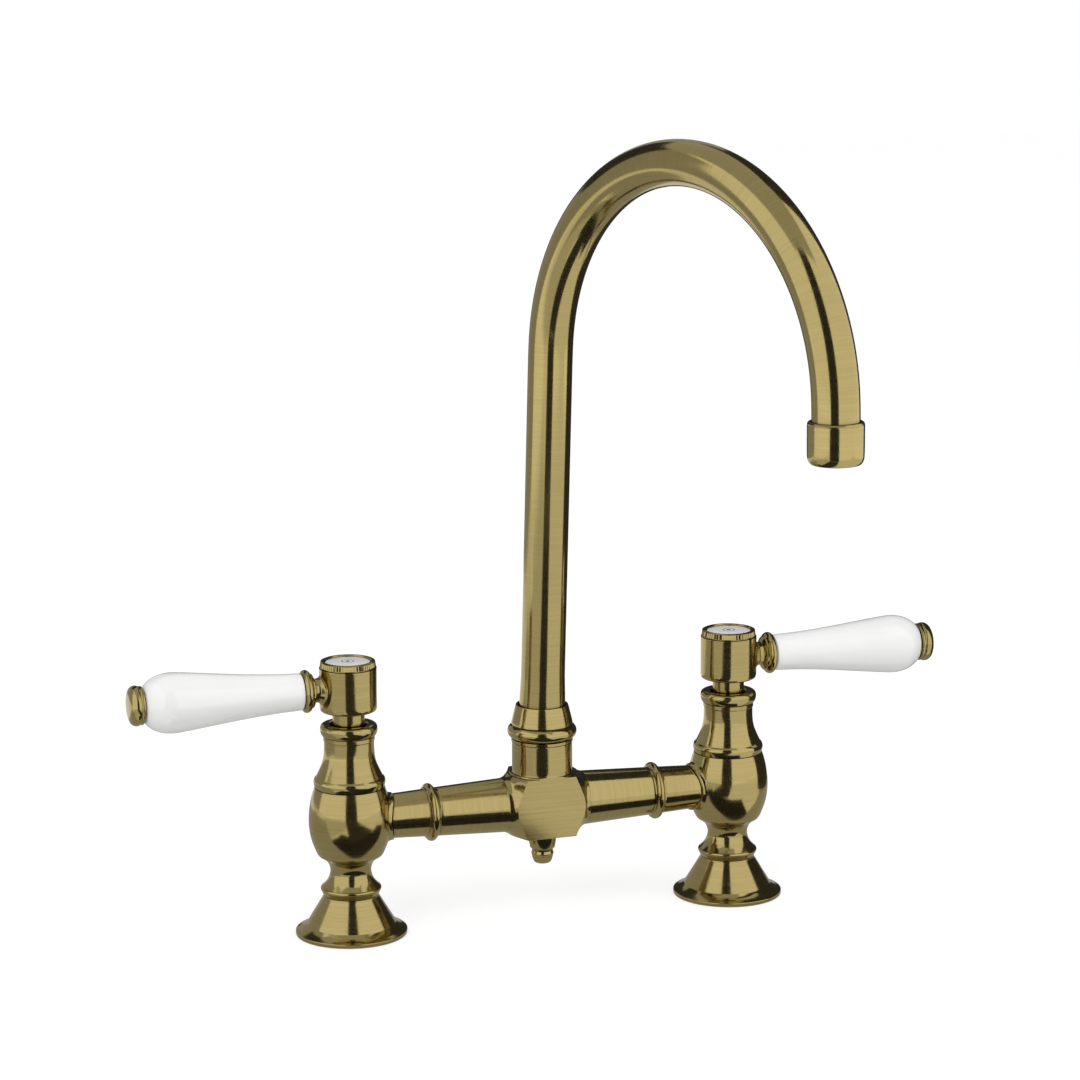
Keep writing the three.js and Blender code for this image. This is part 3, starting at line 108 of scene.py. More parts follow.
# the worktop glows for the camera and the brass, so that it shows white, and keeps the faucet's shadow
bpy.ops.mesh.primitive_plane_add(size=WORKTOP_WIDTH, location=(0, 0, -WORKTOP_GAP))
worktop = bpy.context.object
worktop.name = "worktop"
paper = bpy.data.materials.new("worktop_white")
paper.use_nodes = True
tree = paper.node_tree
tree.nodes.remove(tree.nodes["Principled BSDF"])
matt = tree.nodes.new("ShaderNodeBsdfDiffuse")
matt.inputs["Color"].default_value = (0.42, 0.42, 0.42, 1)
glow = tree.nodes.new("ShaderNodeEmission")
glow.inputs["Color"].default_value = (1, 1, 1, 1)
glow.inputs["Strength"].default_value = WORKTOP_GLOW
both = tree.nodes.new("ShaderNodeAddShader")
tree.links.new(matt.outputs[0], both.inputs[0])
tree.links.new(glow.outputs[0], both.inputs[1])
unseen = tree.nodes.new("ShaderNodeBsdfDiffuse")
unseen.inputs["Color"].default_value = (0.7, 0.7, 0.7, 1)
by_ray = tree.nodes.new("ShaderNodeMixShader")
tree.links.new(seen_itself(tree), by_ray.inputs[0])
tree.links.new(unseen.outputs[0], by_ray.inputs[1])
tree.links.new(both.outputs[0], by_ray.inputs[2])
tree.links.new(by_ray.outputs[0], tree.nodes["Material Output"].inputs["Surface"])
worktop.data.materials.append(paper)

for lamp_name, place, power in [("key_lamp", (-1.5, -1.3, 1.9), 17), ("fill_lamp", (1.6, -0.9, 1.3), 9)]:
    bpy.ops.object.light_add(type="AREA", location=place)
    lamp = bpy.context.object
    lamp.name = lamp_name
    lamp.data.size = LAMP_WIDTH
    lamp.data.energy = power
    lamp.rotation_euler = (LAMPS_AIM - Vector(place)).to_track_quat("-Z", "Y").to_euler()
    lamp.visible_glossy = False


def dress_card(flag, grey):
    """Puts a card's place in its mesh, paints it a flat grey and hides it from all but reflections."""
    bpy.ops.object.transform_apply(location=True, rotation=True, scale=True)
    flag.visible_camera = False
    flag.visible_diffuse = False
    flag.visible_shadow = False
    flag.visible_transmission = False
    flat = bpy.data.materials.new(flag.name + "_grey")
    flat.use_nodes = True
    unlit = flat.node_tree.nodes.new("ShaderNodeEmission")
    unlit.inputs["Color"].default_value = (grey, grey, grey, 1)
    flat.node_tree.links.new(unlit.outputs[0], flat.node_tree.nodes["Material Output"].inputs["Surface"])
    flag.data.materials.append(flat)


for card_name, start, end, low, high, grey in [
        ("card_before_camera", (-0.461, -0.69), (-0.043, -0.828), 0, 1.5, DARK_CARD),
        ("card_rear_left", (-1.1, 0.42), (0.42, 1.13), 0, 1.2, 0.36),
        ("card_rear_far", (0.42, 1.13), (0.95, 1.05), 0.3, 1.3, 0.36),
        ("card_rear_right", (0.33, -0.08), (0.27, 0.32), 0, 1.0, 0.04),
        ("card_rear_right_low", (0.27, 0.32), (0.2, 0.8), 0, 0.42, 0.04),
        ("card_rear", (0.2, 0.8), (-0.1, 0.93), 0, 0.5, 0.04),
        ("card_rear_high", (-0.52, 0.64), (0.12, 0.93), 0.5, 1.15, 0.04)]:
    run = Vector(end) - Vector(start)
    bpy.ops.mesh.primitive_plane_add(size=1)
    flag = bpy.context.object
    flag.name = card_name
    flag.scale = (run.length, high - low, 1)
    flag.rotation_euler = (math.pi / 2, 0, math.atan2(run.y, run.x))
    flag.location = ((start[0] + end[0]) / 2, (start[1] + end[1]) / 2, (low + high) / 2)
    dress_card(flag, grey)

for card_name, near, far, height, left, right, grey in [
        ("card_floor", -1.05, 1.05, 0.0002, -1.05, 1.05, 0.84),
        ("card_floor_left", -0.72, -0.02, 0.0003, -0.85, -0.22, 0.6),
        ("card_low_near", -0.045, 0.35, 0.0004, -0.6, 0.6, 0.38),
        ("card_low_front", -0.13, -0.04, 0.0006, -0.2, 0.14, 0.02),
        ("card_above", -0.62, 0.98, 1.05, -0.6, 0.36, 0.46),
        ("card_above_right", 0.02, 0.85, 1.045, 0.29, 0.65, 0.06)]:
    bpy.ops.mesh.primitive_plane_add(size=1, location=((left + right) / 2, (near + far) / 2, height))
    flag = bpy.context.object
    flag.name = card_name
    flag.scale = (right - left, far - near, 1)
    dress_card(flag, grey)

# The card before the camera lies on towards the faucet and narrows, so that low upright pieces show it too.
LYING_NEAR = 0.12
LYING_FAR = 0.78
LYING_WIDTH = 0.42
LYING_HEIGHT = 0.0008
LYING_NARROWED = 0.42
TOWARDS_CAMERA = math.radians(251.6)
bpy.ops.mesh.primitive_plane_add(size=1, location=((LYING_NEAR + LYING_FAR) / 2, 0, LYING_HEIGHT))
flag = bpy.context.object
flag.name = "card_lying"
flag.scale = (LYING_FAR - LYING_NEAR, LYING_WIDTH, 1)
bpy.ops.object.transform_apply(location=True, rotation=True, scale=True)
for corner in flag.data.vertices:
    if corner.co.x < (LYING_NEAR + LYING_FAR) / 2:
        corner.co.y *= LYING_NARROWED
flag.rotation_euler = (0, 0, TOWARDS_CAMERA)
dress_card(flag, DARK_CARD)

# ---------------------------------------------------------------- base flanges
# Spun brass escutcheons that hide the two tap holes: a thin rim on the worktop, a slightly hollow skirt and
# a cone up to the pillar. They are turned from tube, brushed on the lathe and toned to antique brass.
MM = 0.001


def middle(node):
    """The middle of a plain piece's box, in mm to the hundredth."""
    low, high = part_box(node)
    return [round(value / MM, 2) for value in (low + high) / 2]


PILLAR_X = middle("cold_base_flange")[0] * MM
SIDES = 32
# subdivision draws a ring of SIDES points in, so they stand this much further out
FULLNESS = 6 / (4 + 2 * math.cos(2 * math.pi / SIDES))
MERGED_WITHIN = 0.002 * MM


def beside(corner, neighbour, reach):
    """The point this far from a corner towards its neighbour, or 0.4 of the way where that is less."""
    way = neighbour - corner
    return corner + way.normalized() * min(reach, 0.4 * way.length)


def with_edges(rings, closed):
    """The rings of an outline, with a close pair added beside each edge that stays crisp."""
    path = []
    for i, ring in enumerate(rings):
        corner = Vector(ring[:2])
        if len(ring) == 2:
            path.append(corner)
            continue
        on_axis = Vector((0, ring[1]))
        before = Vector(rings[i - 1][:2]) if i > 0 or closed else on_axis
        after = Vector(rings[(i + 1) % len(rings)][:2]) if i < len(rings) - 1 or closed else on_axis
        path += [beside(corner, before, ring[2]), corner, beside(corner, after, ring[2])]
    return path


def turned(name, rings, x=0.0, levels=2):
    """Turns a piece upright about the axis at x. A ring is its radius and height in mm and, on an edge, how
    far it is broken. Rings that come back to their start make a hollow piece, others end on the axis."""
    closed = rings[0] == rings[-1]
    path = with_edges(rings[:-1], True) if closed else with_edges(rings, False)
    if closed:
        path.append(path[0])
    bpy.ops.object.select_all(action="DESELECT")
    fill = "NOTHING" if closed else "TRIFAN"
    radius, height = path[0]
    bpy.ops.mesh.primitive_circle_add(
        vertices=SIDES, radius=radius * MM * FULLNESS, fill_type=fill, location=(x, 0, height * MM))
    piece = bpy.context.object
    piece.name = name
    bpy.ops.object.transform_apply(location=True, rotation=True, scale=True)
    bpy.ops.object.mode_set(mode="EDIT")
    bpy.ops.mesh.select_all(action="SELECT")
    if not closed:
        bpy.ops.mesh.region_to_loop()
    for next_radius, next_height in path[1:]:
        rise = (next_height - height) * MM
        bpy.ops.mesh.extrude_region_move(TRANSFORM_OT_translate={"value": (0, 0, rise)})
        growth = next_radius / radius
        bpy.ops.transform.resize(value=(growth, growth, 1), center_override=(x, 0, next_height * MM))
        radius, height = next_radius, next_height
    if not closed:
        bpy.ops.mesh.extrude_region_move(TRANSFORM_OT_translate={"value": (0, 0, 0)})
        bpy.ops.mesh.merge(type="CENTER")
    bpy.ops.mesh.select_all(action="SELECT")
    bpy.ops.mesh.remove_doubles(threshold=MERGED_WITHIN)
    bpy.ops.mesh.normals_make_consistent(inside=False)
    bpy.ops.object.mode_set(mode="OBJECT")
    smoothed(piece, levels)
    return piece


def apply_last_modifier(piece):
    bpy.context.view_layer.objects.active = piece
    bpy.ops.object.modifier_apply(modifier=piece.modifiers[-1].name)


def shaded(crisp_from=38):
    """Smooth shading on the selected piece, but for edges that turn by more than this many degrees."""
    bpy.ops.object.shade_smooth_by_angle(angle=math.radians(crisp_from))


def smoothed(piece, levels):
    bpy.ops.object.modifier_add(type="SUBSURF")
    piece.modifiers[-1].levels = levels
    piece.modifiers[-1].render_levels = levels
    apply_last_modifier(piece)
    shaded()


def laid(piece, placed):
    """Puts the selected piece where a matrix says, with its place in its mesh."""
    piece.matrix_world = placed
    bpy.ops.object.transform_apply(location=True, rotation=True, scale=True)


def copied(piece, name, placed):
    """A copy with its own mesh, placed by a matrix."""
    bpy.ops.object.select_all(action="DESELECT")
    piece.select_set(True)
    bpy.context.view_layer.objects.active = piece
    bpy.ops.object.duplicate(linked=False)
    twin = bpy.context.object
    twin.name = name
    laid(twin, placed)
    return twin


def fitted(piece, node, body, finish):
    """Puts a finished piece in its place on the faucet, in place of the plain one."""
    piece.data.materials.clear()
    piece.data.materials.append(finish)
    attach(piece, body)
    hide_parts(node)


def fitted_in_pairs(piece, to_cold, node, body, finish):
    """Copies a hot piece to the cold side and fits both. The names given are the hot side's."""
    twin = copied(piece, piece.name.replace("hot", "cold"), to_cold)
    fitted(piece, node, body, finish)
    fitted(twin, node.replace("hot", "cold"), body.replace("hot", "cold"), finish)


def dressed(node, finish):
    """Gives a plain piece that stays its finish."""
    nodes[node].material_slots[0].material = finish


def new_finish(name, colour, roughness, metallic=0.0):
    """A finish with its flat values on the shader's own sockets, and what varies it over a piece: its nodes,
    its shader and the places on the piece."""
    finish = bpy.data.materials.new(name)
    finish.use_nodes = True
    shader = finish.node_tree.nodes["Principled BSDF"]
    shader.inputs["Base Color"].default_value = (*colour, 1)
    shader.inputs["Roughness"].default_value = roughness
    shader.inputs["Metallic"].default_value = metallic
    place = finish.node_tree.nodes.new("ShaderNodeTexCoord")
    return finish, finish.node_tree, shader, place.outputs["Object"]


def stretched_noise(tree, source, scale, detail):
    """Cloudy pattern at a scale of its own along X, Y and Z, in cycles per metre."""
    mapping = tree.nodes.new("ShaderNodeMapping")
    mapping.inputs["Scale"].default_value = scale
    tree.links.new(source, mapping.inputs["Vector"])
    noise = tree.nodes.new("ShaderNodeTexNoise")
    noise.inputs["Scale"].default_value = 1.0
    noise.inputs["Detail"].default_value = detail
    tree.links.new(mapping.outputs[0], noise.inputs["Vector"])
    return noise.outputs["Fac"]


def ranged(tree, value, low, high, from_low=0.3, from_high=0.7):
    """A value brought into another range. Most of a cloudy pattern lies between 0.3 and 0.7."""
    spread = tree.nodes.new("ShaderNodeMapRange")
    spread.inputs["From Min"].default_value = from_low
    spread.inputs["From Max"].default_value = from_high
    spread.inputs["To Min"].default_value = low
    spread.inputs["To Max"].default_value = high
    tree.links.new(value, spread.inputs["Value"])
    return spread.outputs[0]


def blended(tree, share, first, second):
    """A mix of two colours, each a plain one or another node's output."""
    mix = tree.nodes.new("ShaderNodeMix")
    mix.data_type = "RGBA"
    tree.links.new(share, mix.inputs["Factor"])
    for colour, socket in ((first, mix.inputs["A"]), (second, mix.inputs["B"])):
        if isinstance(colour, tuple):
            socket.default_value = (*colour, 1)
        else:
            tree.links.new(colour, socket)
    return mix.outputs["Result"]


def mottled(tree, shader, pattern, colours, roughness):
    """Lets colour and roughness wander, each between two values, as a pattern does."""
    tree.links.new(blended(tree, ranged(tree, pattern, 0, 1), *colours), shader.inputs["Base Color"])
    tree.links.new(ranged(tree, pattern, *roughness), shader.inputs["Roughness"])


def bumped(tree, shader, height, distance, strength=1.0):
    bump = tree.nodes.new("ShaderNodeBump")
    bump.inputs["Strength"].default_value = strength
    bump.inputs["Distance"].default_value = distance
    tree.links.new(height, bump.inputs["Height"])
    tree.links.new(bump.outputs[0], shader.inputs["Normal"])


def lines_round(tree, place, axis, often, seldom):
    """Lines that run round an axis, in cycles per metre along the axis and across it."""
    return stretched_noise(tree, place, [often if component else seldom for component in axis], 2)


def antique_brass(name, along=(0, 0, 1), source_of=None):
    """Brushed brass under a thin brown tone, with painted shade that darkens its corners and creases.
    The brushing runs round the axis given by along, or across the places that source_of makes of the piece's
    own."""
    finish, tree, shader, place = new_finish(name, (0.5, 0.4, 0.165), 0.15, 1.0)
    brushed = source_of(tree, place) if source_of else place
    fine_lines = lines_round(tree, brushed, along, 2100, 30)
    wide_lines = lines_round(tree, brushed, along, 900, 7)
    clouds = stretched_noise(tree, place, (28, 28, 28), 4)
    light = blended(tree, ranged(tree, fine_lines, 0, 1), (0.465, 0.372, 0.148), (0.525, 0.422, 0.174))
    toned = blended(tree, ranged(tree, wide_lines, 0, 0.22), light, (0.4, 0.315, 0.122))
    patina = blended(tree, ranged(tree, clouds, 0, 0.2, 0.45, 0.8), toned, (0.3, 0.235, 0.1))
    # painted shade: the occlusion node blends the brass towards near-black in corners and creases, where
    # beads meet bodies
    crease_occlusion = tree.nodes.new("ShaderNodeAmbientOcclusion")
    crease_occlusion.samples = 6
    crease_occlusion.inputs["Distance"].default_value = 0.0022
    painted_crease_shade = ranged(tree, crease_occlusion.outputs["AO"], 0.85, 0, 0.35, 0.86)
    tree.links.new(blended(tree, painted_crease_shade, patina, (0.055, 0.04, 0.014)), shader.inputs["Base Color"])
    tree.links.new(ranged(tree, wide_lines, 0.1, 0.17), shader.inputs["Roughness"])
    bumped(tree, shader, fine_lines, 0.00001, 0.5)
    return finish


brass_upright = antique_brass("antique_brass_upright")

flange_rings = [
    (25, 0.9), (25, 0, 0.2), (27.6, 0, 0.3), (27.6, 1.9, 0.45), (25.5, 2.75), (23.7, 3.85), (22.1, 5.2, 0.35),
    (13.7, 19.2, 0.2), (13.6, 19.8, 0.2), (12.5, 19.8, 0.2), (12.5, 16.3, 0.3), (19.3, 5.3, 0.3),
    (19.3, 1.8, 0.3), (25, 1.8, 0.3), (25, 0.9)]
to_cold_side = Matrix.Rotation(math.pi, 4, "Z")
flange = turned("hot_escutcheon", flange_rings, -PILLAR_X)
fitted_in_pairs(flange, to_cold_side, "hot_base_flange", "body", brass_upright)

# Black rubber rings under the flanges seal the tap holes.
rubber, tree, shader, place = new_finish("black_rubber", (0.012, 0.012, 0.012), 0.7)
grain = stretched_noise(tree, place, (900, 900, 900), 3)
mottled(tree, shader, grain, [(0.01, 0.01, 0.01), (0.02, 0.019, 0.018)], [0.6, 0.82])
bumped(tree, shader, grain, 0.00003)
for side in ("hot", "cold"):
    dressed(side + "_base_gasket", rubber)

# ---------------------------------------------------------------- pillars
# Cast and turned brass bodies: shank, foot bead, trumpet waist and a barrel-shaped bulb with a short collar
# that takes the bridge. Inside are the half-inch inlet, the waterway and the chamber for the cartridge.
BRIDGE_Z = middle("hot_bridge_arm")[2]
COLLAR_FACE = 21.5
COLLAR_FLAT = 0.4
COLLAR_SETTLES_OVER = 1.2
BULB_AT_BRIDGE = 20.4
bulb_rings = [
    (15.7, 40, 0.3), (16.6, 41.2), (17.75, 44), (18.95, 47.2), (19.95, 51), (20.47, 56), (20.35, 60.5),
    (19.85, 65), (18.9, 70), (17.3, 74.6, 0.15)]
pillar_rings = [
    (4.6, 30), (4.6, 14.3, 0.2), (9.3, 14.3, 0.2), (9.3, 0.3, 0.2), (12.2, 0.3, 0.2), (12.2, 20.1, 0.2),
    (13.75, 20.1, 0.15), (14.6, 22), (15.15, 22.9), (14.8, 23.8), (14.3, 24.1, 0.2), (12.35, 26),
    (11.2, 27.7), (10.35, 29.8), (9.93, 32.3), (10.4, 34.7), (11.6, 37), (13.1, 38.4), *bulb_rings,
    (14.2, 74.6, 0.2), (14.2, 80.4, 0.3), (10.6, 80.4, 0.2), (10.6, 50, 0.2), (4.6, 50, 0.2), (4.6, 30)]
pillar = turned("hot_pillar", pillar_rings, -PILLAR_X)


def bulb_radius(height):
    """Radius of the bulb in mm at a height, between its rings."""
    for (low_radius, low, *_), (high_radius, high, *_) in zip(bulb_rings, bulb_rings[1:]):
        if height <= high:
            return low_radius + (high_radius - low_radius) * max(height - low, 0) / (high - low)
    return bulb_rings[-1][0]


collar_rings = [
    (8.7, 15), (8.7, 13.8, 0.2), (13.6, 13.8, 0.2), (13.5, 18.9), (12.7, 20.05), (12.05, 20.55), (11.85, 21),
    (11.8, COLLAR_FACE, 0.2), (10, COLLAR_FACE, 0.2), (8.7, COLLAR_FACE, 0.2), (8.7, 15)]
collar = turned("collar", collar_rings)
# The collar is turned along +Z, with X across and Y up. Its rings bend round the pillar's axis, and those
# behind the face follow the bulb's own curve up and down.
for vertex in collar.data.vertices:
    across, rise, out = vertex.co / MM
    bent = math.sqrt(max(out * out - across * across, 0))
    settled = min(max((COLLAR_FACE - COLLAR_FLAT - out) / COLLAR_SETTLES_OVER, 0), 1)
    vertex.co.z = (bent - settled * (BULB_AT_BRIDGE - bulb_radius(BRIDGE_Z + rise))) * MM
# along_x lays what was turned along +Z out along +X, with its X across and its Y up
along_x = Matrix(((0, 0, 1, 0), (1, 0, 0, 0), (0, 1, 0, 0), (0, 0, 0, 1)))
in_bridge = Matrix.Translation((0, 0, BRIDGE_Z * MM))
from_hot_pillar = Matrix.Translation((-PILLAR_X, 0, BRIDGE_Z * MM)) @ along_x
laid(collar, from_hot_pillar)


def carved(piece, tool, how, crisp_from=38):
    """Joins a tool to a piece or cuts it away, and merges the points that this leaves together."""
    bpy.ops.object.select_all(action="DESELECT")
    piece.select_set(True)
    bpy.context.view_layer.objects.active = piece
    bpy.ops.object.modifier_add(type="BOOLEAN")
    piece.modifiers[-1].operation = how
    piece.modifiers[-1].solver = "EXACT"
    piece.modifiers[-1].object = tool
    apply_last_modifier(piece)
    bpy.data.objects.remove(tool)
    bpy.ops.object.mode_set(mode="EDIT")
    bpy.ops.mesh.select_all(action="SELECT")
    bpy.ops.mesh.remove_doubles(threshold=MERGED_WITHIN / 2)
    bpy.ops.object.mode_set(mode="OBJECT")
    shaded(crisp_from)


carved(pillar, collar, "UNION")
port = turned("port", [(8.65, 9, 0.1), (8.65, 26, 0.1)], levels=1)
laid(port, from_hot_pillar)
carved(pillar, port, "DIFFERENCE")
fitted_in_pairs(pillar, to_cold_side, "hot_pillar_body", "body", brass_upright)

# ---------------------------------------------------------------- bonnets
# Bell-shaped brass covers screwed over the pillars' spigots: a bead at the foot, a hollow flare, a slim neck
# with a fine ring and a rolled lip. The lever's skirt turns in the mouth.
bonnet_rings = [
    (10.55, 96), (10.55, 89.9, 0.3), (12, 86, 0.3), (14.5, 80.7, 0.2), (14.5, 74.9, 0.2), (17.2, 74.9, 0.15),
    (17.5, 76.1), (17.8, 77.7), (17.45, 79), (16.95, 79.55, 0.12), (16.5, 80, 0.15), (15.5, 82),
    (14.45, 84.3), (13.4, 86.8), (12.7, 89.6), (12.35, 93), (12.35, 98.2, 0.1), (12.7, 98.5, 0.1),
    (12.7, 100.3, 0.12), (12.35, 100.65, 0.1), (13.3, 100.95, 0.15), (13.85, 102), (14.2, 103.5),
    (14.15, 105), (13.5, 106.15), (12.3, 106.65), (10.8, 106.6), (9.5, 106.3, 0.3), (9, 105.4, 0.2),
    (9, 103.4, 0.2), (10.55, 102, 0.2), (10.55, 96)]
bonnet = turned("hot_bonnet_cover", bonnet_rings, -PILLAR_X)
fitted_in_pairs(bonnet, to_cold_side, "hot_bonnet", "body", brass_upright)

# ---------------------------------------------------------------- cartridges
# Quarter-turn ceramic disc valves in the pillars: turned brass barrel and spindle, two ground alumina discs,
# rubber seals. They are hidden in the finished faucet and keep the plain pieces with their own finishes.
raw_brass, tree, shader, place = new_finish("machined_brass", (0.62, 0.43, 0.13), 0.35, 1.0)
tool_marks = stretched_noise(tree, place, (60, 60, 2600), 2)
mottled(tree, shader, tool_marks, [(0.55, 0.37, 0.11), (0.66, 0.47, 0.15)], [0.24, 0.42])
bumped(tree, shader, tool_marks, 0.00003)

valve_ceramic, tree, shader, place = new_finish("ground_alumina", (0.8, 0.76, 0.68), 0.3)
specks = stretched_noise(tree, place, (1500, 1500, 1500), 4)
mottled(tree, shader, specks, [(0.76, 0.72, 0.64), (0.84, 0.8, 0.73)], [0.22, 0.36])

for side in ("hot", "cold"):
    dressed(side + "_cartridge_barrel", raw_brass)
    dressed(side + "_seat_washer", rubber)
    dressed(side + "_fixed_disc", valve_ceramic)
    dressed(side + "_moving_disc", valve_ceramic)
    dressed(side + "_spindle", raw_brass)
    dressed(side + "_spindle_ring", rubber)

# ---------------------------------------------------------------- lever hubs
# Turned brass barrels on the spindles, held by a steel screw under the index disc. A slim skirt below runs in
# the bonnet's mouth, and the well on top takes the index ring. The cold lever stands slightly off its stop.
hub_rings = [
    (4.7, 110), (4.7, 100.5, 0.2), (7.95, 100.5, 0.3), (7.95, 112.9, 0.15), (12.5, 112.9, 0.1),
    (13.6, 113.25), (14.15, 114.5), (14.12, 117), (14.12, 131), (14.12, 134.7, 0.2), (11.2, 134.7, 0.2),
    (11.2, 131.4, 0.2), (5, 131.4, 0.2), (5, 121.8, 0.2), (2.3, 121.8, 0.2), (2.3, 118.8, 0.2),
    (4.7, 118.8, 0.2), (4.7, 110)]
COLD_LEVER_TURN = math.radians(-2.5)
to_cold_lever = (Matrix.Translation((PILLAR_X, 0, 0)) @ Matrix.Rotation(COLD_LEVER_TURN, 4, "Z")
                 @ Matrix.Translation((-PILLAR_X, 0, 0)) @ to_cold_side)
hub = turned("hot_hub", hub_rings, -PILLAR_X)
fitted_in_pairs(hub, to_cold_lever, "hot_lever_hub", "hot_handle", brass_upright)

steel, tree, shader, place = new_finish("stainless_steel", (0.55, 0.55, 0.56), 0.28, 1.0)
drawn = stretched_noise(tree, place, (1400, 300, 300), 2)
mottled(tree, shader, drawn, [(0.5, 0.5, 0.51), (0.6, 0.6, 0.61)], [0.2, 0.36])
for side in ("hot", "cold"):
    dressed(side + "_hub_screw", steel)

# ---------------------------------------------------------------- index rings and discs
# A screwed ring with a milled edge frames a fired enamel disc on each hub. Each disc has one plain grey ring
# round a dot, the same for hot and cold.
index_rings = [
    (9.1, 133), (9.1, 131.7, 0.2), (10.9, 131.7, 0.2), (10.9, 135, 0.1), (13.75, 135, 0.25), (13.55, 136.6),
    (13.4, 137.9, 0.3), (12.6, 138.25), (11.75, 138.2, 0.2), (11.3, 137.6, 0.15), (11.3, 135.6, 0.2),
    (9.1, 135.6, 0.2), (9.1, 133)]
index_ring = turned("hot_index_ring_milled", index_rings, -PILLAR_X)
MILLED_RIDGES = 64
MILLED_SHARE_OF_RADIUS = 0.02
MILLED_OUTSIDE = 13.2
MILLED_FROM = 135.3
MILLED_TO = 137.8
for vertex in index_ring.data.vertices:
    out = Vector((vertex.co.x + PILLAR_X, vertex.co.y))
    if out.length > MILLED_OUTSIDE * MM and MILLED_FROM * MM < vertex.co.z < MILLED_TO * MM:
        groove = round(math.atan2(out.y, out.x) / (2 * math.pi) * 2 * MILLED_RIDGES) % 2
        vertex.co.x = out.x * (1 - MILLED_SHARE_OF_RADIUS * groove) - PILLAR_X
        vertex.co.y = out.y * (1 - MILLED_SHARE_OF_RADIUS * groove)
shaded(crisp_from=14)
fitted_in_pairs(index_ring, to_cold_lever, "hot_index_ring", "hot_handle", brass_upright)

MARK_RADIUS = 2.9
MARK_HALF_WIDTH = 0.24
DOT_RADIUS = 1.05


def index_enamel(name, x):
    """White fired enamel with a thin grey ring round a dot, about the upright axis at x."""
    finish, tree, shader, place = new_finish(name, (0.86, 0.86, 0.85), 0.1)
    middle = tree.nodes.new("ShaderNodeMapping")
    middle.inputs["Location"].default_value = (-x, 0, 0)
    tree.links.new(place, middle.inputs["Vector"])
    apart = tree.nodes.new("ShaderNodeSeparateXYZ")
    tree.links.new(middle.outputs[0], apart.inputs[0])
    flat = tree.nodes.new("ShaderNodeCombineXYZ")
    tree.links.new(apart.outputs["X"], flat.inputs["X"])
    tree.links.new(apart.outputs["Y"], flat.inputs["Y"])
    reach = tree.nodes.new("ShaderNodeVectorMath")
    reach.operation = "LENGTH"
    tree.links.new(flat.outputs[0], reach.inputs[0])

    def band(value, centre, half):
        inside = tree.nodes.new("ShaderNodeMath")
        inside.operation = "COMPARE"
        inside.inputs[1].default_value = centre
        inside.inputs[2].default_value = half
        tree.links.new(value, inside.inputs[0])
        return inside.outputs[0]

    mark = tree.nodes.new("ShaderNodeMath")
    mark.operation = "MAXIMUM"
    tree.links.new(band(reach.outputs["Value"], MARK_RADIUS * MM, MARK_HALF_WIDTH * MM), mark.inputs[0])
    tree.links.new(band(reach.outputs["Value"], 0, DOT_RADIUS * MM), mark.inputs[1])
    clouds = stretched_noise(tree, place, (180, 180, 180), 3)
    enamel = blended(tree, ranged(tree, clouds, 0, 1), (0.84, 0.84, 0.83), (0.88, 0.88, 0.87))
    tree.links.new(blended(tree, mark.outputs[0], enamel, (0.09, 0.09, 0.095)), shader.inputs["Base Color"])
    shader.inputs["Coat Weight"].default_value = 0.4
    shader.inputs["Coat Roughness"].default_value = 0.05
    bumped(tree, shader, clouds, 0.00004)
    return finish


disc_rings = [(11.05, 135.9, 0.2), (11.05, 137.35, 0.3), (7, 137.72), (2, 137.75)]
hot_disc = turned("hot_enamel_disc", disc_rings, -PILLAR_X)
cold_disc = copied(hot_disc, "cold_enamel_disc", to_cold_lever)
fitted(hot_disc, "hot_index_disc", "hot_handle", index_enamel("hot_enamel", -PILLAR_X))
fitted(cold_disc, "cold_index_disc", "cold_handle", index_enamel("cold_enamel", PILLAR_X))

# ---------------------------------------------------------------- lever stems and ferrules
# Turned in one piece: a stud in the hub, a flared foot fitted to the hub's side, a neck, and a beaded ferrule
# that holds the porcelain. A steel rod runs through the lever, with nylon washers at both ends.
LEVER_Z = middle("hot_porcelain_lever")[2]
STUD_RADIUS = 3.4
ROUND_THE_STUD = STUD_RADIUS + 0.2
FOOT_FROM = 12.5
FOOT_TO = 14.8
FOOT_SEAT = 14.3
ferrule_rings = [
    (STUD_RADIUS, 8.6, 0.3), (STUD_RADIUS, 12.8, 0.1), (7.3, 12.8, 0.2), (7.2, 14.2, 0.1), (6.3, 14.75),
    (5.9, 15.4), (5.87, 17.3, 0.12), (6.9, 17.6, 0.2), (8.4, 18.4, 0.15), (8.6, 19.1, 0.1), (9.1, 19.4, 0.1),
    (10.1, 20.1), (10.65, 21.2), (10.45, 22.3), (9.75, 23.05), (9.2, 23.4, 0.15), (7.1, 23.4, 0.1),
    (7.1, 22.5, 0.1), (2.8, 22.5, 0.1), (2.8, 15.1, 0.1)]


def drop_beside(radius, across):
    """How far the side of a cylinder has dropped back at this distance from its middle."""
    return radius - math.sqrt(radius ** 2 - across ** 2)


ferrule = turned("hot_lever_stem", ferrule_rings)
# the flared foot is hollowed to the hub's side
for vertex in ferrule.data.vertices:
    across, _, out = vertex.co / MM
    if FOOT_FROM < out < FOOT_TO and vertex.co.xy.length > ROUND_THE_STUD * MM:
        vertex.co.z -= drop_beside(FOOT_SEAT, across) * MM
towards_hot_side = Matrix.Rotation(math.pi, 4, "Z") @ along_x
in_hot_lever = Matrix.Translation((-PILLAR_X, 0, LEVER_Z * MM)) @ towards_hot_side
laid(ferrule, in_hot_lever)
brass_lying = antique_brass("antique_brass_lying", along=(1, 0, 0))
fitted_in_pairs(ferrule, to_cold_lever, "hot_lever_ferrule", "hot_handle", brass_lying)

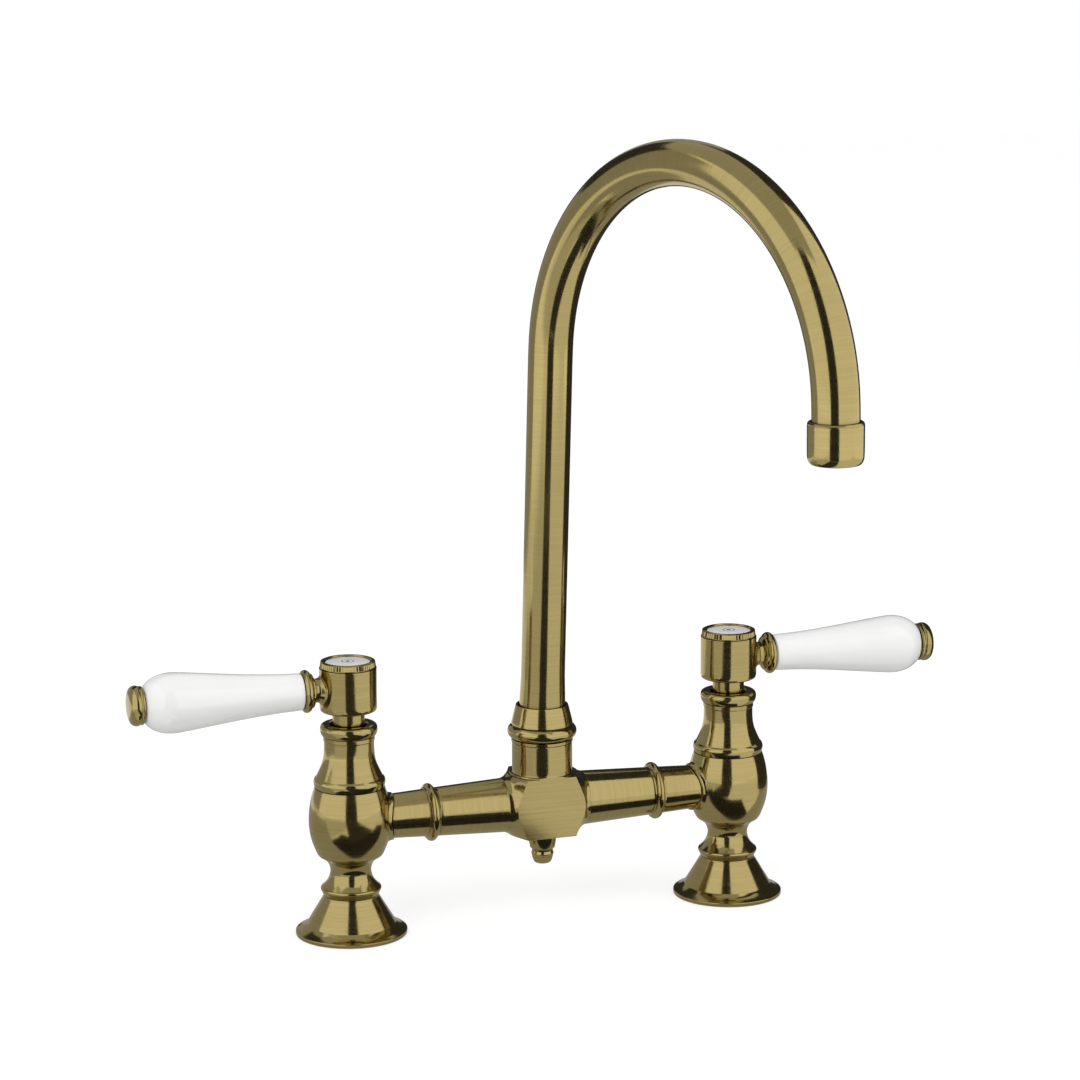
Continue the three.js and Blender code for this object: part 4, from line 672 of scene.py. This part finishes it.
nylon, tree, shader, place = new_finish("natural_nylon", (0.78, 0.76, 0.7), 0.5)
moulded = stretched_noise(tree, place, (700, 700, 700), 3)
mottled(tree, shader, moulded, [(0.74, 0.72, 0.66), (0.81, 0.79, 0.73)], [0.42, 0.6])
bumped(tree, shader, moulded, 0.00003)
for side in ("hot", "cold"):
    dressed(side + "_tie_rod", steel)
    dressed(side + "_inner_washer", nylon)
    dressed(side + "_outer_washer", nylon)

# ---------------------------------------------------------------- porcelain levers
# Slip-cast porcelain grips, slim at the ferrule and full near the end, glazed white and drilled through for
# the tie rod.
grip_rings = [
    (3.3, 60), (3.3, 23.7, 0.3), (8.7, 23.7, 0.25), (9.05, 24.2), (9.2, 27), (9.35, 33), (9.85, 40.5),
    (10.55, 49), (11.5, 58), (12.6, 67.5), (13.7, 77), (14.55, 84.5), (14.82, 88.6), (14.5, 92),
    (13.65, 95.2), (12.2, 98.2), (10.4, 100.5), (8.9, 101.7), (8, 102, 0.3), (3.3, 102, 0.3), (3.3, 60)]
grip = turned("hot_grip", grip_rings)
laid(grip, in_hot_lever)
glaze, tree, shader, place = new_finish("white_glaze", (0.9, 0.9, 0.895), 0.09)
pooling = stretched_noise(tree, place, (30, 30, 30), 3)
ripple = stretched_noise(tree, place, (160, 160, 160), 2)
mottled(tree, shader, pooling, [(0.885, 0.886, 0.88), (0.915, 0.915, 0.912)], [0.06, 0.12])
shader.inputs["Coat Weight"].default_value = 0.5
shader.inputs["Coat Roughness"].default_value = 0.04
bumped(tree, shader, ripple, 0.00005)
fitted_in_pairs(grip, to_cold_lever, "hot_porcelain_lever", "hot_handle", glaze)

# ---------------------------------------------------------------- end knobs
# Small turned brass nuts that close the levers: a shoulder against the porcelain and a domed button.
knob_rings = [
    (2.8, 106.4, 0.1), (2.8, 103.2, 0.1), (7.1, 103.2, 0.1), (7.1, 102.3, 0.1), (8.7, 102.3, 0.15),
    (9.4, 102.7), (9.55, 103.5), (9.2, 104.15, 0.1), (9.7, 104.7), (9.9, 105.7), (9.75, 106.9),
    (9.05, 108.1), (7.6, 109), (5, 109.5), (1.5, 109.62)]
knob = turned("hot_knob", knob_rings)
laid(knob, in_hot_lever)
fitted_in_pairs(knob, to_cold_lever, "hot_end_knob", "hot_handle", brass_lying)

# ---------------------------------------------------------------- bridge arms
# Tapered brass tubes from the block to the pillars, each turned with a bead. One end screws into the block,
# the other is sealed in the pillar's collar by a rubber ring and cut to the collar's curve.
arm_rings = [
    (6, 40), (6, 12.3, 0.2), (9, 12.3, 0.2), (9, 21.26, 0.1), (13.55, 21.26, 0.12), (12.1, 55.6, 0.2),
    (11.75, 56.4, 0.12), (12.1, 57, 0.1), (13.4, 57.35), (14.4, 58.5), (14.45, 59.8), (13.6, 60.9),
    (12.5, 61.3, 0.1), (12.3, 62, 0.1), (11.8, 62.2, 0.1), (11.25, 74), (11.1, 77.6), (11.05, 78.2, 0.15),
    (8.4, 78.2, 0.1), (8.4, 86.4, 0.2), (6, 86.4, 0.2), (6, 40)]
ROUND_THE_SPIGOT = 8.6
ARM_END_FROM = 76
ARM_END_OVER = 1.5
ARM_END_TO = 78.4
ARM_SEAT = 21.8
arm = turned("hot_arm", arm_rings)
# the rings at the arm's end bend to a cylinder about the pillar's axis
for vertex in arm.data.vertices:
    across, _, out = vertex.co / MM
    if ARM_END_FROM < out < ARM_END_TO and vertex.co.xy.length > ROUND_THE_SPIGOT * MM:
        vertex.co.z += drop_beside(ARM_SEAT, across) * MM * min((out - ARM_END_FROM) / ARM_END_OVER, 1)
laid(arm, in_bridge @ towards_hot_side)
fitted_in_pairs(arm, to_cold_side, "hot_bridge_arm", "body", brass_lying)
for side in ("hot", "cold"):
    dressed(side + "_arm_ring", rubber)

# ---------------------------------------------------------------- bridge block
# A length of square brass bar whose ends are turned down in a hollow cone to meet the arms, so that each flat
# runs out in curved edges. The spout's socket stands on top, its foot cut flush with the front and back.
BAR_SIDE = 30.6
# a hair less than the bar, so that the socket's flats and the bar's don't lie in one plane
SOCKET_WIDTH = BAR_SIDE - 0.06
# the boxes that trim the turned pieces reach well past them
BOX_LENGTH = 60
SOCKET_BOX_Z = 80
half_bar = [(13.55, 21.2, 0.12), (14.2, 19.1), (15.2, 17.8), (17.1, 15.8), (19.7, 13.8), (23.5, 11.6, 0.2)]
bar_rings = [(radius, -along, *edge) for radius, along, *edge in half_bar] + half_bar[::-1]


def box(width, depth, height, middle_z):
    """A box about the block's upright axis, in mm, to trim a turned piece with."""
    bpy.ops.object.select_all(action="DESELECT")
    bpy.ops.mesh.primitive_cube_add(size=1, location=(0, 0, middle_z * MM))
    trimmer = bpy.context.object
    trimmer.scale = (width * MM, depth * MM, height * MM)
    bpy.ops.object.transform_apply(location=True, rotation=True, scale=True)
    return trimmer


block = turned("block", bar_rings)
laid(block, in_bridge @ along_x)
carved(block, box(BOX_LENGTH, BAR_SIDE, BAR_SIDE, BRIDGE_Z), "INTERSECT")

socket_rings = [
    (12, 66, 0.2), (16.7, 66, 0.2), (16.7, 73, 0.12), (16.3, 73.45, 0.1), (15.3, 73.6, 0.15), (15.08, 74.4),
    (15.08, 88.7, 0.1), (14.85, 88.95, 0.08), (15.4, 89.3, 0.1), (15.4, 90.6, 0.15), (13.2, 90.6, 0.1),
    (13.2, 96.2, 0.2), (11.8, 96.2, 0.2)]
socket = turned("socket", socket_rings)
carved(socket, box(BOX_LENGTH, SOCKET_WIDTH, BOX_LENGTH, SOCKET_BOX_Z), "INTERSECT")
carved(block, socket, "UNION")

# the well for the spout's foot, the water's way between the arms with their spigots' seats, the finial's hole
well = turned("well", [(11.65, 69, 0.1), (11.65, 99, 0.1)], levels=1)
carved(block, well, "DIFFERENCE", crisp_from=18)
half_passage = [(6, 12.1, 0.1), (9.1, 12.1, 0.1), (9.1, 23, 0.1)]
passage_rings = [(radius, -along, edge) for radius, along, edge in half_passage[::-1]] + half_passage
passage = turned("passage", passage_rings, levels=1)
laid(passage, in_bridge @ along_x)
carved(block, passage, "DIFFERENCE", crisp_from=18)
finial_hole = turned("finial_hole", [(3.1, 40, 0.1), (3.1, 53, 0.1)], levels=1)
carved(block, finial_hole, "DIFFERENCE", crisp_from=18)
fitted(block, "bridge_block", "body", brass_upright)

# ---------------------------------------------------------------- finial
# A small turned drop that closes the block's underside.
finial_rings = [
    (1.5, 25.65), (3.4, 25.75), (4.5, 26.5), (5.05, 28.4), (5.65, 31, 0.25), (5.3, 32.3, 0.15),
    (5.3, 33.2, 0.15), (6.25, 33.9, 0.2), (6.55, 35.2), (6.95, 38), (7.05, 41.9, 0.1), (3, 41.9, 0.1),
    (3, 49.4, 0.2)]
finial = turned("finial", finial_rings)
fitted(finial, "bridge_finial", "body", brass_upright)

# ---------------------------------------------------------------- spout nut and foot
# A brass nut with a full bead and a cone holds the swivelling spout down in its socket. Inside it are a nylon
# slip ring and the spout's turned foot with two rubber rings.
nut_rings = [
    (13.5, 93), (13.5, 90.9, 0.15), (15.1, 90.9, 0.15), (16.2, 91.6), (17.1, 92.9), (17.4, 94.4),
    (17.1, 95.9), (16.1, 97.1), (15.3, 97.5, 0.1), (14.95, 97.75, 0.08), (15.4, 98.05, 0.1), (15.3, 99, 0.1),
    (13.55, 106.3), (13.2, 107.3), (13, 107.8, 0.2), (12.05, 107.8, 0.15), (12.05, 107.1, 0.1),
    (12.4, 106.7, 0.1), (12.4, 99.5, 0.15), (13.5, 99.5, 0.15), (13.5, 93)]
nut = turned("nut", nut_rings)
fitted(nut, "spout_nut", "body", brass_upright)
dressed("spout_slip_ring", nylon)
dressed("spout_ferrule", raw_brass)
dressed("spout_lower_ring", rubber)
dressed("spout_upper_ring", rubber)

# ---------------------------------------------------------------- spout
# A 22 mm brass tube bent on a former: a foot swaged out to the nut, a long riser that leans slightly forward
# and a half-round arch that ends pointing straight down.
TUBE_START = 98.3
LEAN = math.radians(2.48)
LEAN_FROM = 100
RISER = 187
ARCH_RADIUS = 102.9
ARCH_SWEEP = math.radians(177.2)
ARCH_STEPS = 36
OUTLET_LEG = 10.4
SPOUT_TURN = math.radians(18.75)
FOOT_RADIUS = 11.6
TUBE_RADIUS = 10.9
TUBE_WALL = 1.2
# what lies further than this below the arch's centre is on the riser or the outlet leg
ARCH_REACHES_BELOW = 20

bpy.ops.object.select_all(action="DESELECT")
bpy.ops.mesh.primitive_circle_add(
    vertices=SIDES, radius=FOOT_RADIUS * MM * FULLNESS, location=(0, 0, TUBE_START * MM))
tube = bpy.context.object
tube.name = "swan_neck"
bpy.ops.object.transform_apply(location=True, rotation=True, scale=True)
bpy.ops.object.mode_set(mode="EDIT")
bpy.ops.mesh.select_all(action="SELECT")
bpy.ops.mesh.extrude_region_move(TRANSFORM_OT_translate={"value": (0, 0, (LEAN_FROM - TUBE_START) * MM)})
radius = FOOT_RADIUS
risen = 0.0
lean_direction = Vector((math.sin(LEAN), 0, math.cos(LEAN)))
swaged = [(FOOT_RADIUS, 6.5), (11.5, 9.5), (11.35, 13), (11.15, 17.5), (10.98, 22), (TUBE_RADIUS, 27)]
for next_radius, reach in swaged + [(TUBE_RADIUS, reach) for reach in (60, 100, 140, 175, RISER)]:
    bpy.ops.mesh.extrude_region_move(TRANSFORM_OT_translate={"value": lean_direction * (reach - risen) * MM})
    growth = next_radius / radius
    centre = Vector((0, 0, LEAN_FROM * MM)) + lean_direction * reach * MM
    bpy.ops.transform.resize(value=(growth, growth, growth), center_override=centre)
    radius, risen = next_radius, reach
arch_centre = centre + Vector((math.cos(LEAN), 0, -math.sin(LEAN))) * ARCH_RADIUS * MM
bpy.ops.mesh.spin(steps=ARCH_STEPS, angle=-ARCH_SWEEP, center=arch_centre, axis=(0, 1, 0))
heading = LEAN + ARCH_SWEEP
leg = Vector((math.sin(heading), 0, math.cos(heading))) * OUTLET_LEG * MM
bpy.ops.mesh.extrude_region_move(TRANSFORM_OT_translate={"value": leg})
bpy.ops.mesh.select_all(action="SELECT")
bpy.ops.mesh.remove_doubles(threshold=MERGED_WITHIN)
bpy.ops.mesh.normals_make_consistent(inside=False)
bpy.ops.object.mode_set(mode="OBJECT")
smoothed(tube, levels=2)
bpy.ops.object.modifier_add(type="SOLIDIFY")
tube.modifiers[-1].thickness = TUBE_WALL * MM
tube.modifiers[-1].offset = -1
apply_last_modifier(tube)

# how far along its own centre line each point lies, for the brushing that runs round the tube
along_tube = tube.data.attributes.new("along_tube", "FLOAT", "POINT")
for vertex in tube.data.vertices:
    here = vertex.co - arch_centre
    angle = math.atan2(here.x * math.sin(LEAN) + here.z * math.cos(LEAN),
                       -here.x * math.cos(LEAN) + here.z * math.sin(LEAN))
    if vertex.co.z > arch_centre.z - ARCH_REACHES_BELOW * MM and angle > 0:
        distance = RISER * MM + angle * ARCH_RADIUS * MM
    elif vertex.co.x < arch_centre.x:
        distance = RISER * MM + here.dot(lean_direction)
    else:
        distance = RISER * MM + ARCH_SWEEP * ARCH_RADIUS * MM - here.z
    along_tube.data[vertex.index].value = distance

spout_direction = Matrix.Rotation(SPOUT_TURN - math.pi / 2, 4, "Z")
laid(tube, spout_direction)


def lines_round_tube(tree, place):
    """Places with the distance along the tube in place of their height."""
    distance = tree.nodes.new("ShaderNodeAttribute")
    distance.attribute_name = "along_tube"
    apart = tree.nodes.new("ShaderNodeSeparateXYZ")
    tree.links.new(place, apart.inputs[0])
    together = tree.nodes.new("ShaderNodeCombineXYZ")
    tree.links.new(apart.outputs["X"], together.inputs["X"])
    tree.links.new(apart.outputs["Y"], together.inputs["Y"])
    tree.links.new(distance.outputs["Fac"], together.inputs["Z"])
    return together.outputs[0]


brass_tube = antique_brass("antique_brass_tube", source_of=lines_round_tube)
fitted(tube, "spout_tube", "spout", brass_tube)

# ---------------------------------------------------------------- aerator
# A turned collar screwed on the tube's end, with a broken top edge and a rounded mouth, holds a nylon insert
# with jet holes against a rubber washer.
COLLAR_AFTER_ARCH = 4.4
aerator_rings = [
    (11.05, -12), (11.05, -7.7, 0.15), (9, -7.7, 0.15), (9, -6.3, 0.15), (11.2, -6.3, 0.15), (11.2, 0, 0.15),
    (12.2, 0, 0.12), (12.85, -0.75, 0.2), (12.72, -1.15, 0.06), (12.88, -1.5, 0.08), (12.88, -14.6),
    (12.75, -16.4), (12.2, -18.1), (11.3, -19.1), (10.4, -19.3, 0.1), (9.85, -19.3, 0.15),
    (9.85, -18.4, 0.15), (11.05, -18.4, 0.15), (11.05, -12)]
aerator = turned("aerator_turned_collar", aerator_rings)
arch_end = arch_centre + Vector((-math.cos(heading), 0, math.sin(heading))) * ARCH_RADIUS * MM
collar_top = arch_end + leg * (COLLAR_AFTER_ARCH / OUTLET_LEG)
laid(aerator, spout_direction @ Matrix.Translation(collar_top) @ Matrix.Rotation(heading - math.pi, 4, "Y"))
fitted(aerator, "aerator_collar", "spout", brass_upright)
dressed("aerator_washer", rubber)
dressed("aerator_insert", nylon)
